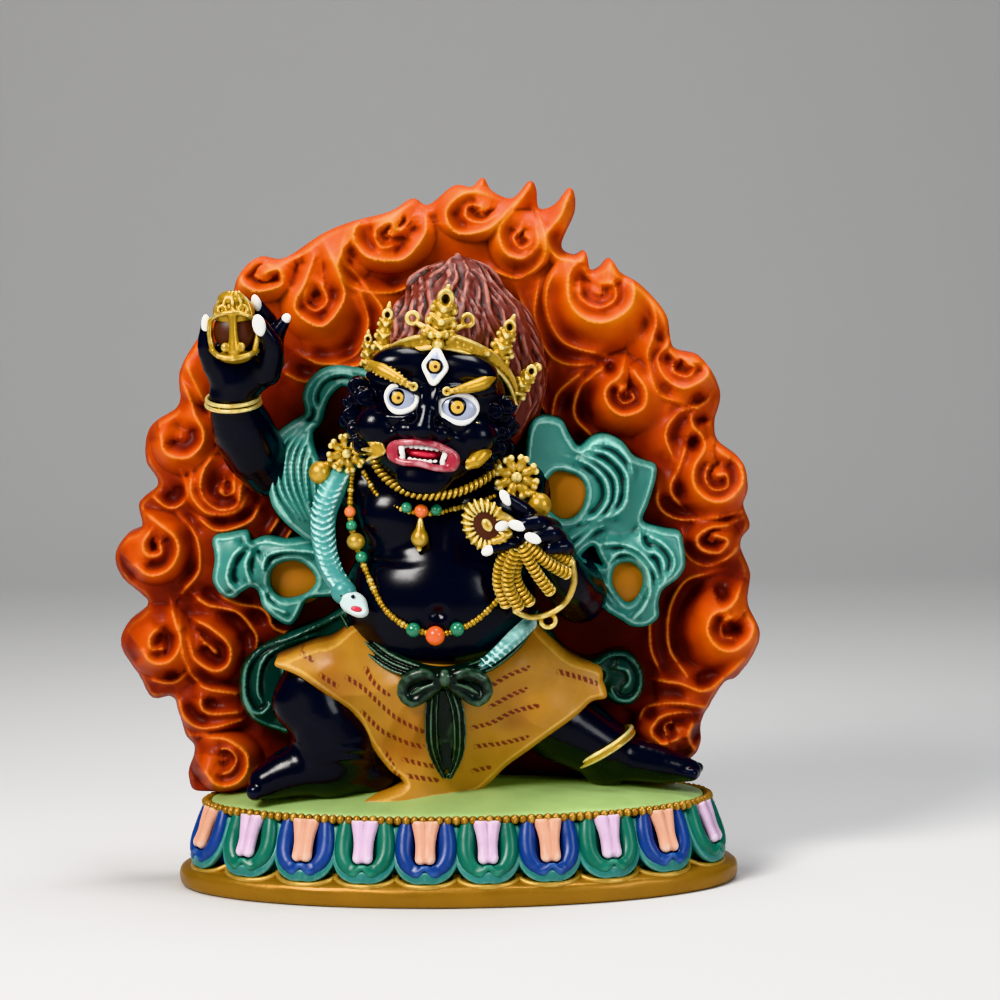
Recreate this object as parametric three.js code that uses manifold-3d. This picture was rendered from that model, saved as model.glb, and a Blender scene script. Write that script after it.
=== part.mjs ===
// Painted cast-resin statuette: a wrathful deity striding on an oval lotus plinth,
// in front of a ring of flames. Millimetres, +Z up, the figure faces -Y,
// +X to the right of someone who looks at its front. The origin is the middle of
// the plinth's underside.

import * as THREE from 'three';
import { mergeVertices } from 'three/addons/utils/BufferGeometryUtils.js';
import Module from 'manifold-3d';

const wasm = await Module();
wasm.setup();

// Driving dimensions
const GAP = 0.35;
const SMALLEST_EDGE = 0.1;
const PLINTH = { halfWidth: 59.4, halfDepth: 29.7, sides: 32 };
const FOOT = { height: 4.4, edge: 1.0 };
const PETALS = { count: 20, low: 5.2, high: 16.2, halfWidth: 6.6, swell: 2.6, inset: 5.6, topInset: 7.6 };
const BEADS = { count: 148, inset: 5.4, low: 16.7, high: 18.5, size: 1.7 };
const TOP = { inset: 7.6, rise: 3.2 };
const FLAMES = { front: 6.0, back: 14.0, ridge: 0.75 };
const FIGURE = { back: 5.7 };
const FAR = 400;

// The flame ring's outline: tips, hollows and bulges, clockwise from the lower left.
const FLAME_OUTLINE = [
  [-48.0, 16.0], [-55.3, 16.0], [-57.8, 22.0], [-56.2, 27.7], [-58.2, 31.0], [-60.5, 38.7],
  [-65.2, 38.8], [-67.9, 43.8], [-71.6, 49.9], [-70.2, 54.8], [-65.6, 59.4], [-71.0, 64.8],
  [-72.4, 69.6], [-69.8, 74.0], [-66.2, 76.0], [-67.0, 80.8], [-62.9, 84.9], [-65.4, 90.2],
  [-64.3, 97.0], [-58.2, 101.6], [-57.6, 109.0], [-52.4, 117.4], [-47.6, 121.4], [-44.9, 128.4],
  [-40.8, 132.6], [-35.4, 132.3], [-27.3, 137.3], [-21.1, 139.8], [-12.8, 141.9], [-8.0, 144.6],
  [-4.6, 143.2], [0.8, 147.2], [4.6, 146.9], [7.0, 148.9], [8.9, 146.0], [13.2, 144.4],
  [16.8, 148.0], [18.2, 146.6], [18.8, 142.2], [22.2, 143.0], [25.5, 146.6], [26.4, 142.0],
  [23.4, 134.6], [26.0, 132.3], [28.4, 133.2], [29.4, 129.2], [31.4, 129.6], [33.6, 131.6],
  [35.9, 128.5], [40.4, 125.6], [45.2, 119.8], [46.9, 112.6], [52.8, 110.3], [56.8, 103.0],
  [55.5, 96.4], [56.4, 92.4], [61.2, 88.2], [62.4, 82.6], [61.6, 78.8], [63.0, 74.2],
  [60.8, 70.6], [63.0, 64.0], [62.2, 58.2], [64.7, 51.0], [60.3, 42.2], [56.6, 40.4],
  [52.5, 32.6], [52.2, 27.8], [49.5, 23.6], [44.0, 22.0], [40.0, 16.0],
];

// Flame curls: centre, radius, how far the bulge stands off the plate, the angle where the
// spiral starts and its sense (1 runs anticlockwise as seen from the front), and the
// points of the flame that leads into it.
const CURLS = [
  { at: [-39.2, 129.4], r: 5.2, bulge: [6.0, 5.0], start: 40, sense: 1, tail: [[-30.5, 135.4]] },
  { at: [-28.0, 123.2], r: 5.0, bulge: [6.4, 4.6], start: 70, sense: -1, tail: [[-27.0, 135.5]] },
  { at: [-13.0, 137.0], r: 7.0, bulge: [9.4, 6.0], start: 60, sense: 1, tail: [[-7.8, 144.2]] },
  { at: [5.0, 141.4], r: 5.6, bulge: [6.8, 5.0], start: 40, sense: 1, tail: [[14.6, 144.4]] },
  { at: [14.9, 135.2], r: 4.6, bulge: [6.6, 5.0], start: 100, sense: 1, tail: [[16.6, 146.0]] },
  { at: [31.2, 124.4], r: 7.2, bulge: [10.6, 6.6], start: 115, sense: 1, tail: [[28.0, 132.4]] },
  { at: [48.6, 107.4], r: 5.0, bulge: [7.6, 5.0], start: 140, sense: 1, tail: [[45.6, 119.0]] },
  { at: [36.4, 102.6], r: 4.4, bulge: [7.6, 4.6], start: 110, sense: 1, tail: [[36.4, 111.6]] },
  { at: [55.2, 84.8], r: 5.2, bulge: [7.0, 5.6], start: 110, sense: 1, tail: [[51.4, 97.0]] },
  { at: [54.8, 71.6], r: 3.2, bulge: [4.6, 4.0], start: 30, sense: 1, tail: [[61.2, 75.4]] },
  { at: [57.2, 53.0], r: 4.6, bulge: [8.6, 6.0], start: 80, sense: 1, tail: [[61.0, 62.0]] },
  { at: [44.6, 31.6], r: 3.8, bulge: [6.4, 4.4], start: 60, sense: 1, tail: [[51.0, 36.0]] },
  { at: [-57.2, 94.8], r: 4.4, bulge: [6.6, 4.6], start: 75, sense: -1, tail: [[-55.4, 105.0]] },
  { at: [-49.2, 84.2], r: 4.6, bulge: [7.0, 4.2], start: 110, sense: 1, tail: [[-49.4, 92.4]] },
  { at: [-63.4, 71.6], r: 5.0, bulge: [7.6, 5.4], start: 75, sense: -1, tail: [[-66.0, 79.6]] },
  { at: [-62.8, 51.4], r: 4.6, bulge: [8.0, 5.4], start: 55, sense: -1, tail: [[-61.0, 61.0]] },
  { at: [-52.4, 49.8], r: 4.4, bulge: [6.4, 4.4], start: 140, sense: -1, tail: [[-57.6, 59.0]] },
  { at: [-49.2, 24.8], r: 5.0, bulge: [6.8, 9.0], start: 100, sense: -1, tail: [[-57.0, 35.0]] },
];

// Flame crests that run between the curls.
const CRESTS = [
  [[-43.6, 81.8], [-41.0, 80.0], [-45.0, 76.6], [-52.4, 77.4]],
  [[-20.8, 138.4], [-22.4, 131.0], [-19.0, 125.0], [-8.0, 126.4]],
  [[41.6, 124.4], [43.6, 117.0], [42.6, 107.0], [47.0, 101.4]],
  [[19.0, 141.0], [19.6, 133.0], [17.0, 128.4], [10.4, 129.0]],
  [[33.0, 109.4], [27.0, 105.0], [26.0, 99.0], [29.4, 94.4]],
  [[48.6, 91.6], [45.0, 84.0], [48.0, 76.6], [60.6, 77.6]],
  [[53.0, 66.0], [46.4, 60.0], [45.2, 50.0], [48.4, 43.0]],
  [[41.0, 41.8], [47.0, 40.4], [52.0, 38.4]],
  [[-45.4, 58.6], [-41.6, 54.4], [-42.4, 51.0]],
  [[-59.0, 39.6], [-57.6, 34.4], [-52.0, 32.6], [-44.6, 35.0]],
];

// Turns a closed three.js geometry into a solid that can be joined and cut.
function solid(geometry) {
  geometry.deleteAttribute('normal');
  geometry.deleteAttribute('uv');
  const merged = mergeVertices(geometry, 1e-4);
  return new wasm.Manifold(new wasm.Mesh({
    numProp: 3,
    tolerance: SMALLEST_EDGE,
    vertProperties: new Float32Array(merged.attributes.position.array),
    triVerts: new Uint32Array(merged.index.array),
  }));
}

function joined(solids) {
  return solids.reduce((whole, piece) => whole.add(piece));
}

function node(name, body, material) {
  const mesh = body.getMesh();
  const geometry = new THREE.BufferGeometry();
  geometry.setAttribute('position', new THREE.BufferAttribute(mesh.vertProperties, 3));
  geometry.setIndex(new THREE.BufferAttribute(mesh.triVerts, 1));
  geometry.computeVertexNormals();
  const result = new THREE.Mesh(geometry, material);
  result.name = name;
  return result;
}

function painted(colour, roughness, metalness = 0) {
  return new THREE.MeshStandardMaterial({ color: colour, roughness, metalness });
}

// A value read from a short list, as t runs from 0 to 1 along it.
function along(values, t) {
  const place = t * (values.length - 1);
  const low = Math.min(Math.floor(place), values.length - 2);
  return THREE.MathUtils.lerp(values[low], values[low + 1], place - low);
}

// An ellipsoid with half-axes given along X, Y and Z.
function ball(at, radii, grow = 0, across = 8, down = 5) {
  const geometry = new THREE.SphereGeometry(1, across, down);
  geometry.rotateX(Math.PI / 2);
  geometry.scale(radii[0] + grow, radii[1] + grow, radii[2] + grow);
  geometry.translate(...at);
  return solid(geometry);
}

// A closed rod along a curve. Its half-widths across the view and half-depths along the
// view are lists that are read along the curve.
function rod(points, widths, depths, grow = 0, sides = 6, steps = 5, facing = [0, -1, 0]) {
  const curve = new THREE.CatmullRomCurve3(points.map((p) => new THREE.Vector3(...p)));
  const geometry = new THREE.CylinderGeometry(1, 1, 1, sides, steps);
  const position = geometry.attributes.position;
  const view = new THREE.Vector3(...facing);
  for (let i = 0; i < position.count; i += 1) {
    const t = THREE.MathUtils.clamp(position.getY(i) + 0.5, 0, 1);
    const tangent = curve.getTangent(t);
    const side = new THREE.Vector3().crossVectors(tangent, view).normalize();
    const front = new THREE.Vector3().crossVectors(side, tangent);
    const end = (t > 0.999 ? grow : 0) - (t < 0.001 ? grow : 0);
    const place = curve.getPoint(t)
      .addScaledVector(tangent, end)
      .addScaledVector(side, position.getX(i) * (along(widths, t) + grow))
      .addScaledVector(front, position.getZ(i) * (along(depths, t) + grow));
    position.setXYZ(i, place.x, place.y, place.z);
  }
  return solid(geometry);
}

// A flat ring seen from the front.
function ring(at, radii, thick, grow = 0, around = 10) {
  const geometry = new THREE.TorusGeometry(1, (thick + grow) / radii[0], 4, around);
  geometry.scale(radii[0], radii[1], radii[0]);
  geometry.rotateX(Math.PI / 2);
  geometry.translate(...at);
  return solid(geometry);
}

// A plate with an outline seen from the front, between two depths, its edges bevelled if asked.
function plate(outline, front, back, edge, grow = 0) {
  const shape = new THREE.Shape(outline.map(([x, z]) => new THREE.Vector2(x, z)));
  const geometry = new THREE.ExtrudeGeometry(shape, {
    depth: back - front - 2 * edge,
    bevelEnabled: edge + grow > 0,
    bevelThickness: edge + grow,
    bevelSize: edge + grow,
    bevelOffset: -edge,
    bevelSegments: 1,
  });
  geometry.rotateX(Math.PI / 2);
  geometry.translate(0, back - edge, 0);
  return solid(geometry);
}

function box(low, high) {
  const size = high.map((value, axis) => value - low[axis]);
  const geometry = new THREE.BoxGeometry(...size);
  geometry.translate(...low.map((value, axis) => value + size[axis] / 2));
  return solid(geometry);
}

// Half-axes of the plinth's oval, drawn in from the foot's edge at its ends.
function oval(inset) {
  const scale = 1 - inset / PLINTH.halfWidth;
  return [PLINTH.halfWidth * scale, PLINTH.halfDepth * scale];
}

// The plinth's turned core, stretched to an oval: foot, petal bell and domed top.
function plinthCore(grow = 0) {
  const full = PLINTH.halfWidth;
  const topRadius = full - TOP.inset;
  const profile = [
    [0, 0], [full - FOOT.edge, 0], [full, FOOT.edge], [full, FOOT.height - FOOT.edge],
    [full - FOOT.edge, FOOT.height], [full - 3.0, PETALS.low],
    [full - PETALS.topInset, PETALS.high], [topRadius, BEADS.high],
    [topRadius * 0.6, BEADS.high + TOP.rise * 0.75], [0, BEADS.high + TOP.rise],
  ];
  const points = profile.map(([x, z]) => new THREE.Vector2(x ? x + grow : 0, z ? z + grow : 0));
  const geometry = new THREE.LatheGeometry(points, PLINTH.sides);
  geometry.rotateX(Math.PI / 2);
  geometry.scale(1, (PLINTH.halfDepth + grow) / (full + grow), 1);
  return solid(geometry);
}

// One lotus petal that hangs outward and down.
function petal(place, outward) {
  const height = PETALS.high - PETALS.low;
  const lean = Math.atan2(PETALS.topInset - PETALS.inset, height / 2);
  const blade = new THREE.SphereGeometry(1, 6, 3);
  blade.rotateX(Math.PI / 2);
  blade.scale(PETALS.halfWidth, PETALS.swell, height * 0.56);
  blade.rotateX(-lean);
  blade.rotateZ(Math.atan2(outward.y, outward.x) + Math.PI / 2);
  blade.translate(place.x, place.y, (PETALS.low + PETALS.high) / 2);
  return solid(blade);
}

function petals() {
  const [a, b] = oval(PETALS.inset);
  const curve = new THREE.EllipseCurve(0, 0, a, b, -Math.PI / 2, 1.5 * Math.PI);
  const spots = curve.getSpacedPoints(2 * PETALS.count).filter((_, i) => i % 2 === 1);
  return spots.map((spot) => {
    const outward = new THREE.Vector2(spot.x / (a * a), spot.y / (b * b)).normalize();
    return petal(spot, outward);
  });
}

// The row of beads round the rim of the top, as a ring with a tooth for each pair of beads.
function beadRing() {
  const [a, b] = oval(BEADS.inset + BEADS.size / 2);
  const curve = new THREE.EllipseCurve(0, 0, a, b, 0, 2 * Math.PI);
  const spots = curve.getSpacedPoints(BEADS.count).slice(0, -1);
  const outline = spots.map((spot, i) => {
    const outward = new THREE.Vector2(spot.x / (a * a), spot.y / (b * b)).normalize();
    return spot.clone().addScaledVector(outward, i % 2 ? BEADS.size / 2 : 0);
  });
  const geometry = new THREE.ExtrudeGeometry(new THREE.Shape(outline), {
    depth: BEADS.high - BEADS.low,
    bevelEnabled: false,
  });
  geometry.translate(0, 0, BEADS.low);
  return solid(geometry);
}

function lotusBase() {
  return joined([plinthCore(), ...petals(), beadRing()]);
}

// Belly, chest, hips and the two legs with their feet.
function bodyAndLegs(g) {
  return [
    ball([-3, -8.5, 61.5], [20, 15, 17.5], g, 9, 6),
    ball([-2, -7, 80], [19.5, 12, 12], g, 8, 5),
    rod([[-14, -6, 50], [-27, -12, 47], [-31, -13, 42]], [8.5, 8, 7.4], [7, 7, 7], g, 6, 3),
    rod([[-30.5, -13, 47], [-28.5, -11, 36], [-25, -7, 26]], [6, 8.2, 5.4], [5.5, 7, 5], g, 6, 3),
    rod([[-17, -4, 24], [-25, -5, 26], [-34, -7, 23.5], [-43.5, -9, 21.6]],
      [4.5, 6, 4.6, 2], [4, 5, 5, 3], g, 6, 3),
    rod([[10, -4, 44], [22, -3, 35.5], [34, -0.5, 27]], [9, 7.6, 5.8], [8, 7, 5], g, 6, 3),
    rod([[25, 0, 23.6], [33, -0.5, 25.6], [43, -1.5, 23.8], [51.5, -2, 22.4]],
      [3, 5.2, 3.8, 1.8], [4.5, 5, 4.6, 3], g, 6, 3),
    rod([[24, -4.5, 24.5], [29, -6.6, 28], [36.8, -4.2, 33.4]], [1, 1, 1], [1.2, 1.2, 1.2], g, 4, 3),
  ];
}

// Head with a cap of flame-like hair behind the crown.
function headAndHair(g) {
  const hair = rod([[0, -1, 90], [0.6, -1, 108], [0.2, -2, 118], [2.4, -1, 133]],
    [19, 18.6, 15.4, 1.6], [11, 12, 11, 2.4], g, 10, 4);
  return [
    hair,
    ball([-2.8, -11.5, 104], [15.4, 12.6, 12.6], g, 8, 6),
    ball([-3.6, -13.5, 93.5], [12.6, 12, 11.5], g, 8, 5),
    ball([-3.2, -22.2, 110], [2.6, 1.4, 3.9], g, 4, 4),
    ball([-10.4, -22, 103], [3.6, 2, 3.2], g, 6, 3),
    ball([1.4, -23, 101.6], [4.4, 2, 3.1], g, 6, 3),
    ball([-5.2, -24.6, 98], [3.2, 2.4, 2.8], g, 6, 3),
    rod([[-12.8, -21.4, 92.6], [-10, -23.6, 95], [-1.6, -24.6, 94.8], [1.8, -23, 92.4]],
      [1.2, 1.4, 1.4, 1.2], [1.4, 1.6, 1.6, 1.4], g, 4, 3),
    rod([[-12.6, -21.4, 91.6], [-9, -23.4, 89.6], [-2, -24, 89.2], [1.8, -22.6, 91.6]],
      [1.2, 1.4, 1.4, 1.2], [1.4, 1.6, 1.6, 1.4], g, 4, 3),
    rod([[-15.2, -15, 110.4], [-10, -21.4, 108.2], [-6.4, -23.4, 105.8]], [1, 1.1, 0.9], [1, 1, 1], g, 4, 2),
    rod([[-2.4, -23.8, 105], [3, -22.8, 106], [8.4, -18.8, 108]], [0.9, 1.1, 1], [1, 1, 1], g, 4, 2),
  ];
}

// Crown band with its five leaf points, ear flowers and the drops below them.
function crownAndEars(g) {
  const leaf = (low, high, width) => rod([low, high], [width, 0.5], [1, 0.5], g, 4, 1);
  return [
    rod([[-16.6, -10, 110], [-12.4, -15.4, 113], [-3, -18, 116], [7, -16.6, 112.6], [12.4, -11.4, 106]],
      [1.4, 1.4, 1.5, 1.4, 1.4], [1.6, 1.4, 1.4, 1.4, 1.6], g, 4, 6),
    leaf([-1.6, -17.6, 116], [0.1, -16.6, 128], 3.4),
    rod([[-8.4, -16.6, 121], [-4, -17.2, 117.4], [0.4, -17.2, 117.2], [5.2, -16.6, 120.4]],
      [2, 1, 1, 2], [1.2, 1.2, 1.2, 1.2], g, 4, 4),
    leaf([-13.4, -14, 113], [-12.6, -13, 124.4], 2.4),
    leaf([-16.4, -10, 109.4], [-17, -9.4, 118.6], 1.8),
    leaf([9.8, -13, 109.6], [12.8, -12.6, 120.4], 3),
    leaf([12.6, -10.4, 104], [17.6, -9.6, 111.4], 2.8),
    ball([-21.7, -13, 92.6], [3.9, 2, 3.9], g, 8, 4),
    ball([13.4, -17, 87.4], [4.5, 2, 4.5], g, 8, 4),
    rod([[-22, -12.6, 92], [-25.4, -12.6, 90], [-29.2, -12.6, 87.2]], [1, 1, 2.4, 1.6], [1, 1, 2.2, 1.6], g, 6, 3),
    rod([[14, -17, 86], [16.4, -16.4, 83], [19.6, -16.4, 80.2]], [1, 1, 2.5, 1.6], [1, 1, 2.2, 1.6], g, 6, 3),
    rod([[-16, -10, 95], [-24, -10, 91]], [2.6, 2.2], [2.4, 2.2], g, 4, 1),
  ];
}

// Necklaces, their larger beads, the snake and its tail.
function necklacesAndSnake(g) {
  const bead = (at, size) => ball(at, [size, size, size], g, 6, 3);
  return [
    rod([[-17, -15.5, 94], [-12.4, -20, 86.6], [-3.6, -22.4, 83.6], [4.6, -20, 85.6], [10, -15.6, 91]],
      [1.4, 1.5, 1.6, 1.5, 1.4], [1.6, 1.8, 1.8, 1.8, 1.6], g, 4, 6),
    rod([[-20, -14, 86], [-19.8, -16.6, 75], [-17, -19.4, 66], [-11, -22.2, 58.6], [-4.2, -23.2, 56],
      [2.6, -22.8, 57.4], [8.4, -20.4, 62.6]], [0.7, 0.7, 0.7, 0.7], [1, 1, 1, 1], g, 3, 9),
    bead([-4.3, -23.8, 56], 2.3),
    bead([-20, -17, 74.6], 1.8),
    rod([[-6.9, -17.6, 80.4], [-6.9, -18.2, 75.4], [-6.9, -18.4, 73.6]], [0.8, 1.8, 0.7], [1.4, 2, 0.8], g, 5, 2),
    rod([[-20, -7, 90.6], [-24.6, -12.6, 85], [-27, -15, 77.4], [-25.4, -17.4, 68], [-21, -20, 62.4]],
      [1.8, 2.3, 2.3, 2.1, 2.8], [2, 2.4, 2.4, 2.2, 2], g, 5, 6),
    rod([[5.4, -20, 48.6], [10.4, -19.6, 52], [15.6, -16.4, 57]], [0.9, 1.9, 2.2], [1, 1.6, 1.8], g, 4, 3),
  ];
}

// The raised arm with its bracelet, hand, claws and the vajra that it holds.
function raisedArm(g) {
  const finger = (low, high) => rod([low, high], [1.7, 0.6], [1.7, 0.7], g, 4, 1);
  return [
    rod([[-16, -5, 85], [-27, -3, 82], [-37, -2, 81.6]], [8, 6.6, 5.2], [7, 6, 5], g, 6, 2),
    rod([[-38.6, -2, 80], [-42, -6, 91], [-43.8, -10.4, 101.4], [-44.2, -12.6, 108]],
      [4.6, 5.3, 6, 5.4], [4.6, 5.2, 5.6, 5.2], g, 6, 3),
    rod([[-43.9, -11, 102.6], [-44, -11.6, 105.2]], [6.9, 6.9], [6.4, 6.4], g, 6, 1),
    ball([-43, -14, 112.8], [8, 6, 7.6], g, 7, 4),
    finger([-49.4, -14.4, 112], [-51, -15.4, 121]),
    finger([-39.6, -12.4, 116], [-42.8, -13.4, 124.8]),
    finger([-38, -13.4, 115], [-38.9, -14.4, 124.6]),
    finger([-36.6, -13, 112], [-34.2, -13, 121.2]),
    rod([[-45.4, -17, 113.6], [-45, -17, 119], [-44.6, -17, 127]], [2.6, 5.2, 1.6], [2, 4, 1.6], g, 6, 3),
  ];
}

// The bent arm, the hand before the chest, the hook and the coiled noose.
function bentArm(g) {
  const finger = (low, high) => rod([low, high], [1.7, 0.7], [1.7, 0.9], g, 4, 1);
  return [
    rod([[15, -5, 86], [26, -3, 76], [31.6, -3.6, 64], [31, -6, 55]], [7, 7.2, 6.2, 3], [7, 6.8, 6, 4], g, 6, 3),
    rod([[30, -6, 57.6], [24, -13, 63], [17, -19, 73]], [5, 5, 4.4], [5, 5, 4.4], g, 6, 1),
    ball([15.6, -19.6, 76], [7, 4.2, 6], g, 6, 4),
    finger([15, -21.6, 79], [10.6, -23.8, 84.2]),
    finger([16, -23, 77], [12, -26, 78.6]),
    finger([12.6, -21.6, 74], [7.4, -23, 73]),
    ring([7.4, -22.6, 78.8], [3.3, 4.2], 1.3, g, 7),
    ring([16.2, -20.4, 65.6], [5.2, 5.2], 2.4, g, 8),
    ring([18.3, -19.8, 58.4], [1.9, 1.9], 0.9, g, 6),
  ];
}

// The tiger-skin skirt with its folds, the sash and the bow with its tails.
function skirtAndSash(g) {
  const outline = [
    [-38, 50.4], [-24, 41.6], [-19.4, 33], [-17.4, 26], [-20.4, 19], [5.2, 19],
    [8.4, 26.6], [17, 32.8], [26.6, 38.4], [30.6, 42], [22.6, 54], [-24, 55],
  ];
  const fold = (low, high) => rod([low, high], [1.6, 1.4], [1.8, 1.6], g, 3, 1);
  return [
    plate(outline, -10, FIGURE.back - 0.4, 1.2, g),
    rod([[-2.6, -9, 54], [-4.6, -10, 40], [-6.4, -7.4, 20]], [19, 12.6, 11], [9, 8.4, 4.6], g, 8, 3),
    fold([-16, -18, 50], [-33.6, -16, 48]),
    fold([-10, -15.6, 42], [-13.6, -10.4, 23]),
    fold([3, -16, 42], [3.4, -10.4, 24]),
    fold([12, -11.4, 50], [27, -9.8, 42]),
    rod([[-20.6, -12, 55.6], [-13, -17.6, 49.4], [-3, -19.8, 46.8], [7, -17.4, 48.8], [15.6, -11, 55]],
      [1.8, 1.7, 1.7, 1.6, 1.5], [2.2, 2.2, 2.2, 2.2, 2.2], g, 4, 5),
    rod([[-12.6, -20, 43], [-7, -20.4, 44.4], [-3.2, -20.6, 46.2], [1, -20.4, 44.4], [7, -20, 43]],
      [1.6, 3, 1.2, 3, 1.6], [1, 2.2, 2.4, 2.2, 1], g, 4, 4),
    rod([[-3.2, -19.4, 46], [-3, -17, 35], [-3.6, -12.4, 26]], [1.2, 3.2, 1], [1.8, 2, 1.4], g, 4, 2),
  ];
}

// The scarf: flat bands that leave the shoulders and waist and curl into loops at each
// side, with a web of resin in the loops.
function scarf(g) {
  const band = (points, widths, steps = 6, depth = 2.4) => rod(points, widths,
    widths.map(() => depth), g, 4, steps);
  const web = (x, z, radius) => rod([[x, 2, z], [x, FIGURE.back, z]], [radius, radius], [radius, radius],
    g, 5, 1, [0, 0, 1]);
  return [
    band([[-17.6, 2, 105.6], [-24, 1.6, 109], [-30.4, 1, 105.4], [-29.8, 0.6, 99]], [1.6, 2.6, 2.4, 2.6], 4),
    band([[-29.8, 1, 101], [-34, 0, 94.4], [-34.8, 0, 86.4], [-30.6, 1, 77.4], [-25, 1, 71]],
      [2.6, 5, 4.6, 2.6, 2.2], 5, 3.6),
    band([[-28, 1, 73.8], [-38, 0, 72.6], [-47, 0, 72.4], [-48.6, 0, 64], [-43, 0, 63.6]],
      [2.2, 1.6, 2.6, 2.8, 2], 6, 3),
    band([[-43, 0, 68], [-40, 0, 62], [-35.6, 0, 58.4], [-29, 1, 60.6]], [3.4, 2.8, 3.2, 1.4], 4, 3),
    web(-34, 65.6, 6.6),
    band([[-22, 1, 57], [-33, 0, 52.6], [-43.4, -1, 46.6], [-44, -1, 38], [-38, -1, 35]],
      [1.6, 1.8, 3, 3, 2], 6, 3),
    band([[15.6, 1, 92], [24, 0, 91], [34, -1, 88.4], [37.6, -1, 81.6], [31, 0, 75.6]],
      [3.4, 3.8, 5.2, 5, 2.4], 6, 3.6),
    web(24.8, 82.4, 7),
    band([[18, 1, 74], [26, 0, 72.6], [32, 0, 63], [36, 0, 57]], [2.4, 3, 2.2, 2], 3, 2.6),
    band([[31, 1, 74], [38, 0, 71.6], [44, 0, 69.6], [45.4, 0, 63.8], [40, 0, 60]],
      [2.2, 3, 3.6, 3.4, 2], 5, 3),
    band([[42, 0, 62], [39.4, 0, 57], [35, 0, 57]], [2.6, 3.4, 2.4], 3, 3),
    web(35.4, 64.6, 5.2),
    band([[17, 0, 54], [27.6, -0.6, 48.4], [34.6, -1, 46], [37.4, -1, 41.6], [33.6, -1, 39.2]],
      [1.8, 1.8, 2, 2.6, 2.6], 5, 3),
  ];
}

function figure(grow) {
  const back = grow ? FLAMES.front + 0.05 : FIGURE.back;
  const whole = joined([
    ...bodyAndLegs(grow),
    ...headAndHair(grow),
    ...crownAndEars(grow),
    ...necklacesAndSnake(grow),
    ...raisedArm(grow),
    ...bentArm(grow),
    ...skirtAndSash(grow),
    ...scarf(grow),
  ]);
  return whole.intersect(box([-FAR, -FAR, 0], [FAR, back, FAR])).subtract(plinthCore(GAP));
}

// The points of a curl's crest: the flame that leads in, then a shrinking spiral.
function curlCrest(curl) {
  const turns = 1.1;
  const steps = 8;
  const [x, z] = curl.at;
  const depth = (radius) => FLAMES.front - curl.bulge[1] * (1 - 0.45 * (radius / curl.bulge[0]) ** 2);
  const spiral = Array.from({ length: steps + 1 }, (_, i) => {
    const t = i / steps;
    const radius = curl.r * (1 - 0.78 * t);
    const angle = THREE.MathUtils.degToRad(curl.start) + curl.sense * turns * 2 * Math.PI * t;
    return [x + radius * Math.cos(angle), depth(radius), z + radius * Math.sin(angle)];
  });
  const lead = curl.tail.map(([tailX, tailZ]) => [tailX, FLAMES.front - 0.4, tailZ]);
  return [...lead, ...spiral];
}

function flameAureole() {
  const crest = (points, steps) => rod(points, [FLAMES.ridge, FLAMES.ridge * 1.2, FLAMES.ridge * 0.6],
    [1.6, 1.6, 1.4], 0, 3, steps);
  const whole = joined([
    plate(FLAME_OUTLINE, FLAMES.front, FLAMES.back, 0),
    ...CURLS.map(({ at: [x, z], bulge: [r, rise] }) => ball([x, FLAMES.front + 0.6, z], [r, rise, r], 0, 8, 4)),
    ...CURLS.map((curl) => crest(curlCrest(curl), 7)),
    ...CRESTS.map((points) => crest(points.map(([x, z]) => [x, FLAMES.front - 0.2, z]), 3)),
  ]);
  const above = box([-FAR, -FAR, BEADS.high + GAP], [FAR, FAR, FAR]);
  return whole.intersect(above).subtract(plinthCore(GAP)).subtract(figure(GAP));
}

const statuette = new THREE.Group();
statuette.add(node('lotus_base', lotusBase(), painted('#4a8a68', 0.5)));
statuette.add(node('figure', figure(0), painted('#14141f', 0.35)));
statuette.add(node('flame_aureole', flameAureole(), painted('#d9561c', 0.5)));

export default statuette;
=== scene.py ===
# %% [markdown]
# # A hand-painted statuette in Blender
# The object is a cast resin figure about 15 cm tall: a stout deity in glossy dark blue strides
# on an oval lotus plinth, with a ring of carved flames behind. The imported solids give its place
# and size. Each painted part is sculpted here as a piece of its own, because the painter gave
# each part its own colour. Lengths are in millimetres up to the moment a mesh is made.

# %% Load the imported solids
import math

import bmesh
import bpy
import numpy as np
import openvdb
from mathutils import Matrix, Vector


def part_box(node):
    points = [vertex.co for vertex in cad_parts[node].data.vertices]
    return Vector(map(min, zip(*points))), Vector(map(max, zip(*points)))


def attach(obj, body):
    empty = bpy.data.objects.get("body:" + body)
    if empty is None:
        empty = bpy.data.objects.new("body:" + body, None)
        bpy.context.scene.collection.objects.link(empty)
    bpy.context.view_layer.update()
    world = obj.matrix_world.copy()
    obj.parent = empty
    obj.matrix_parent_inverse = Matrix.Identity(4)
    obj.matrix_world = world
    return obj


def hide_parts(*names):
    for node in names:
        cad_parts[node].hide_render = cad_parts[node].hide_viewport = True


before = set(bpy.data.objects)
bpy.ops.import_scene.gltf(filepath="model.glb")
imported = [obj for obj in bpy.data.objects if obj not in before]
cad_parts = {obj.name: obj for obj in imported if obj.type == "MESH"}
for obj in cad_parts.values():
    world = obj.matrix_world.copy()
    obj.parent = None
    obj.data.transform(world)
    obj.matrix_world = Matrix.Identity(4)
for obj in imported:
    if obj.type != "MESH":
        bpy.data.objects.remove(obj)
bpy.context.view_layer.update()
MM = 0.001
for node_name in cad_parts:
    low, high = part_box(node_name)
    print(node_name, "from", [round(v / MM, 1) for v in low], "to", [round(v / MM, 1) for v in high])

# %% [markdown]
# ## Where the camera stands
# The statuette was seen from a little above its middle and from far away, so that a long lens
# fits it. The camera's place is worked out from a distance, a height angle and a small roll, so
# each can be changed alone.

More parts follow.
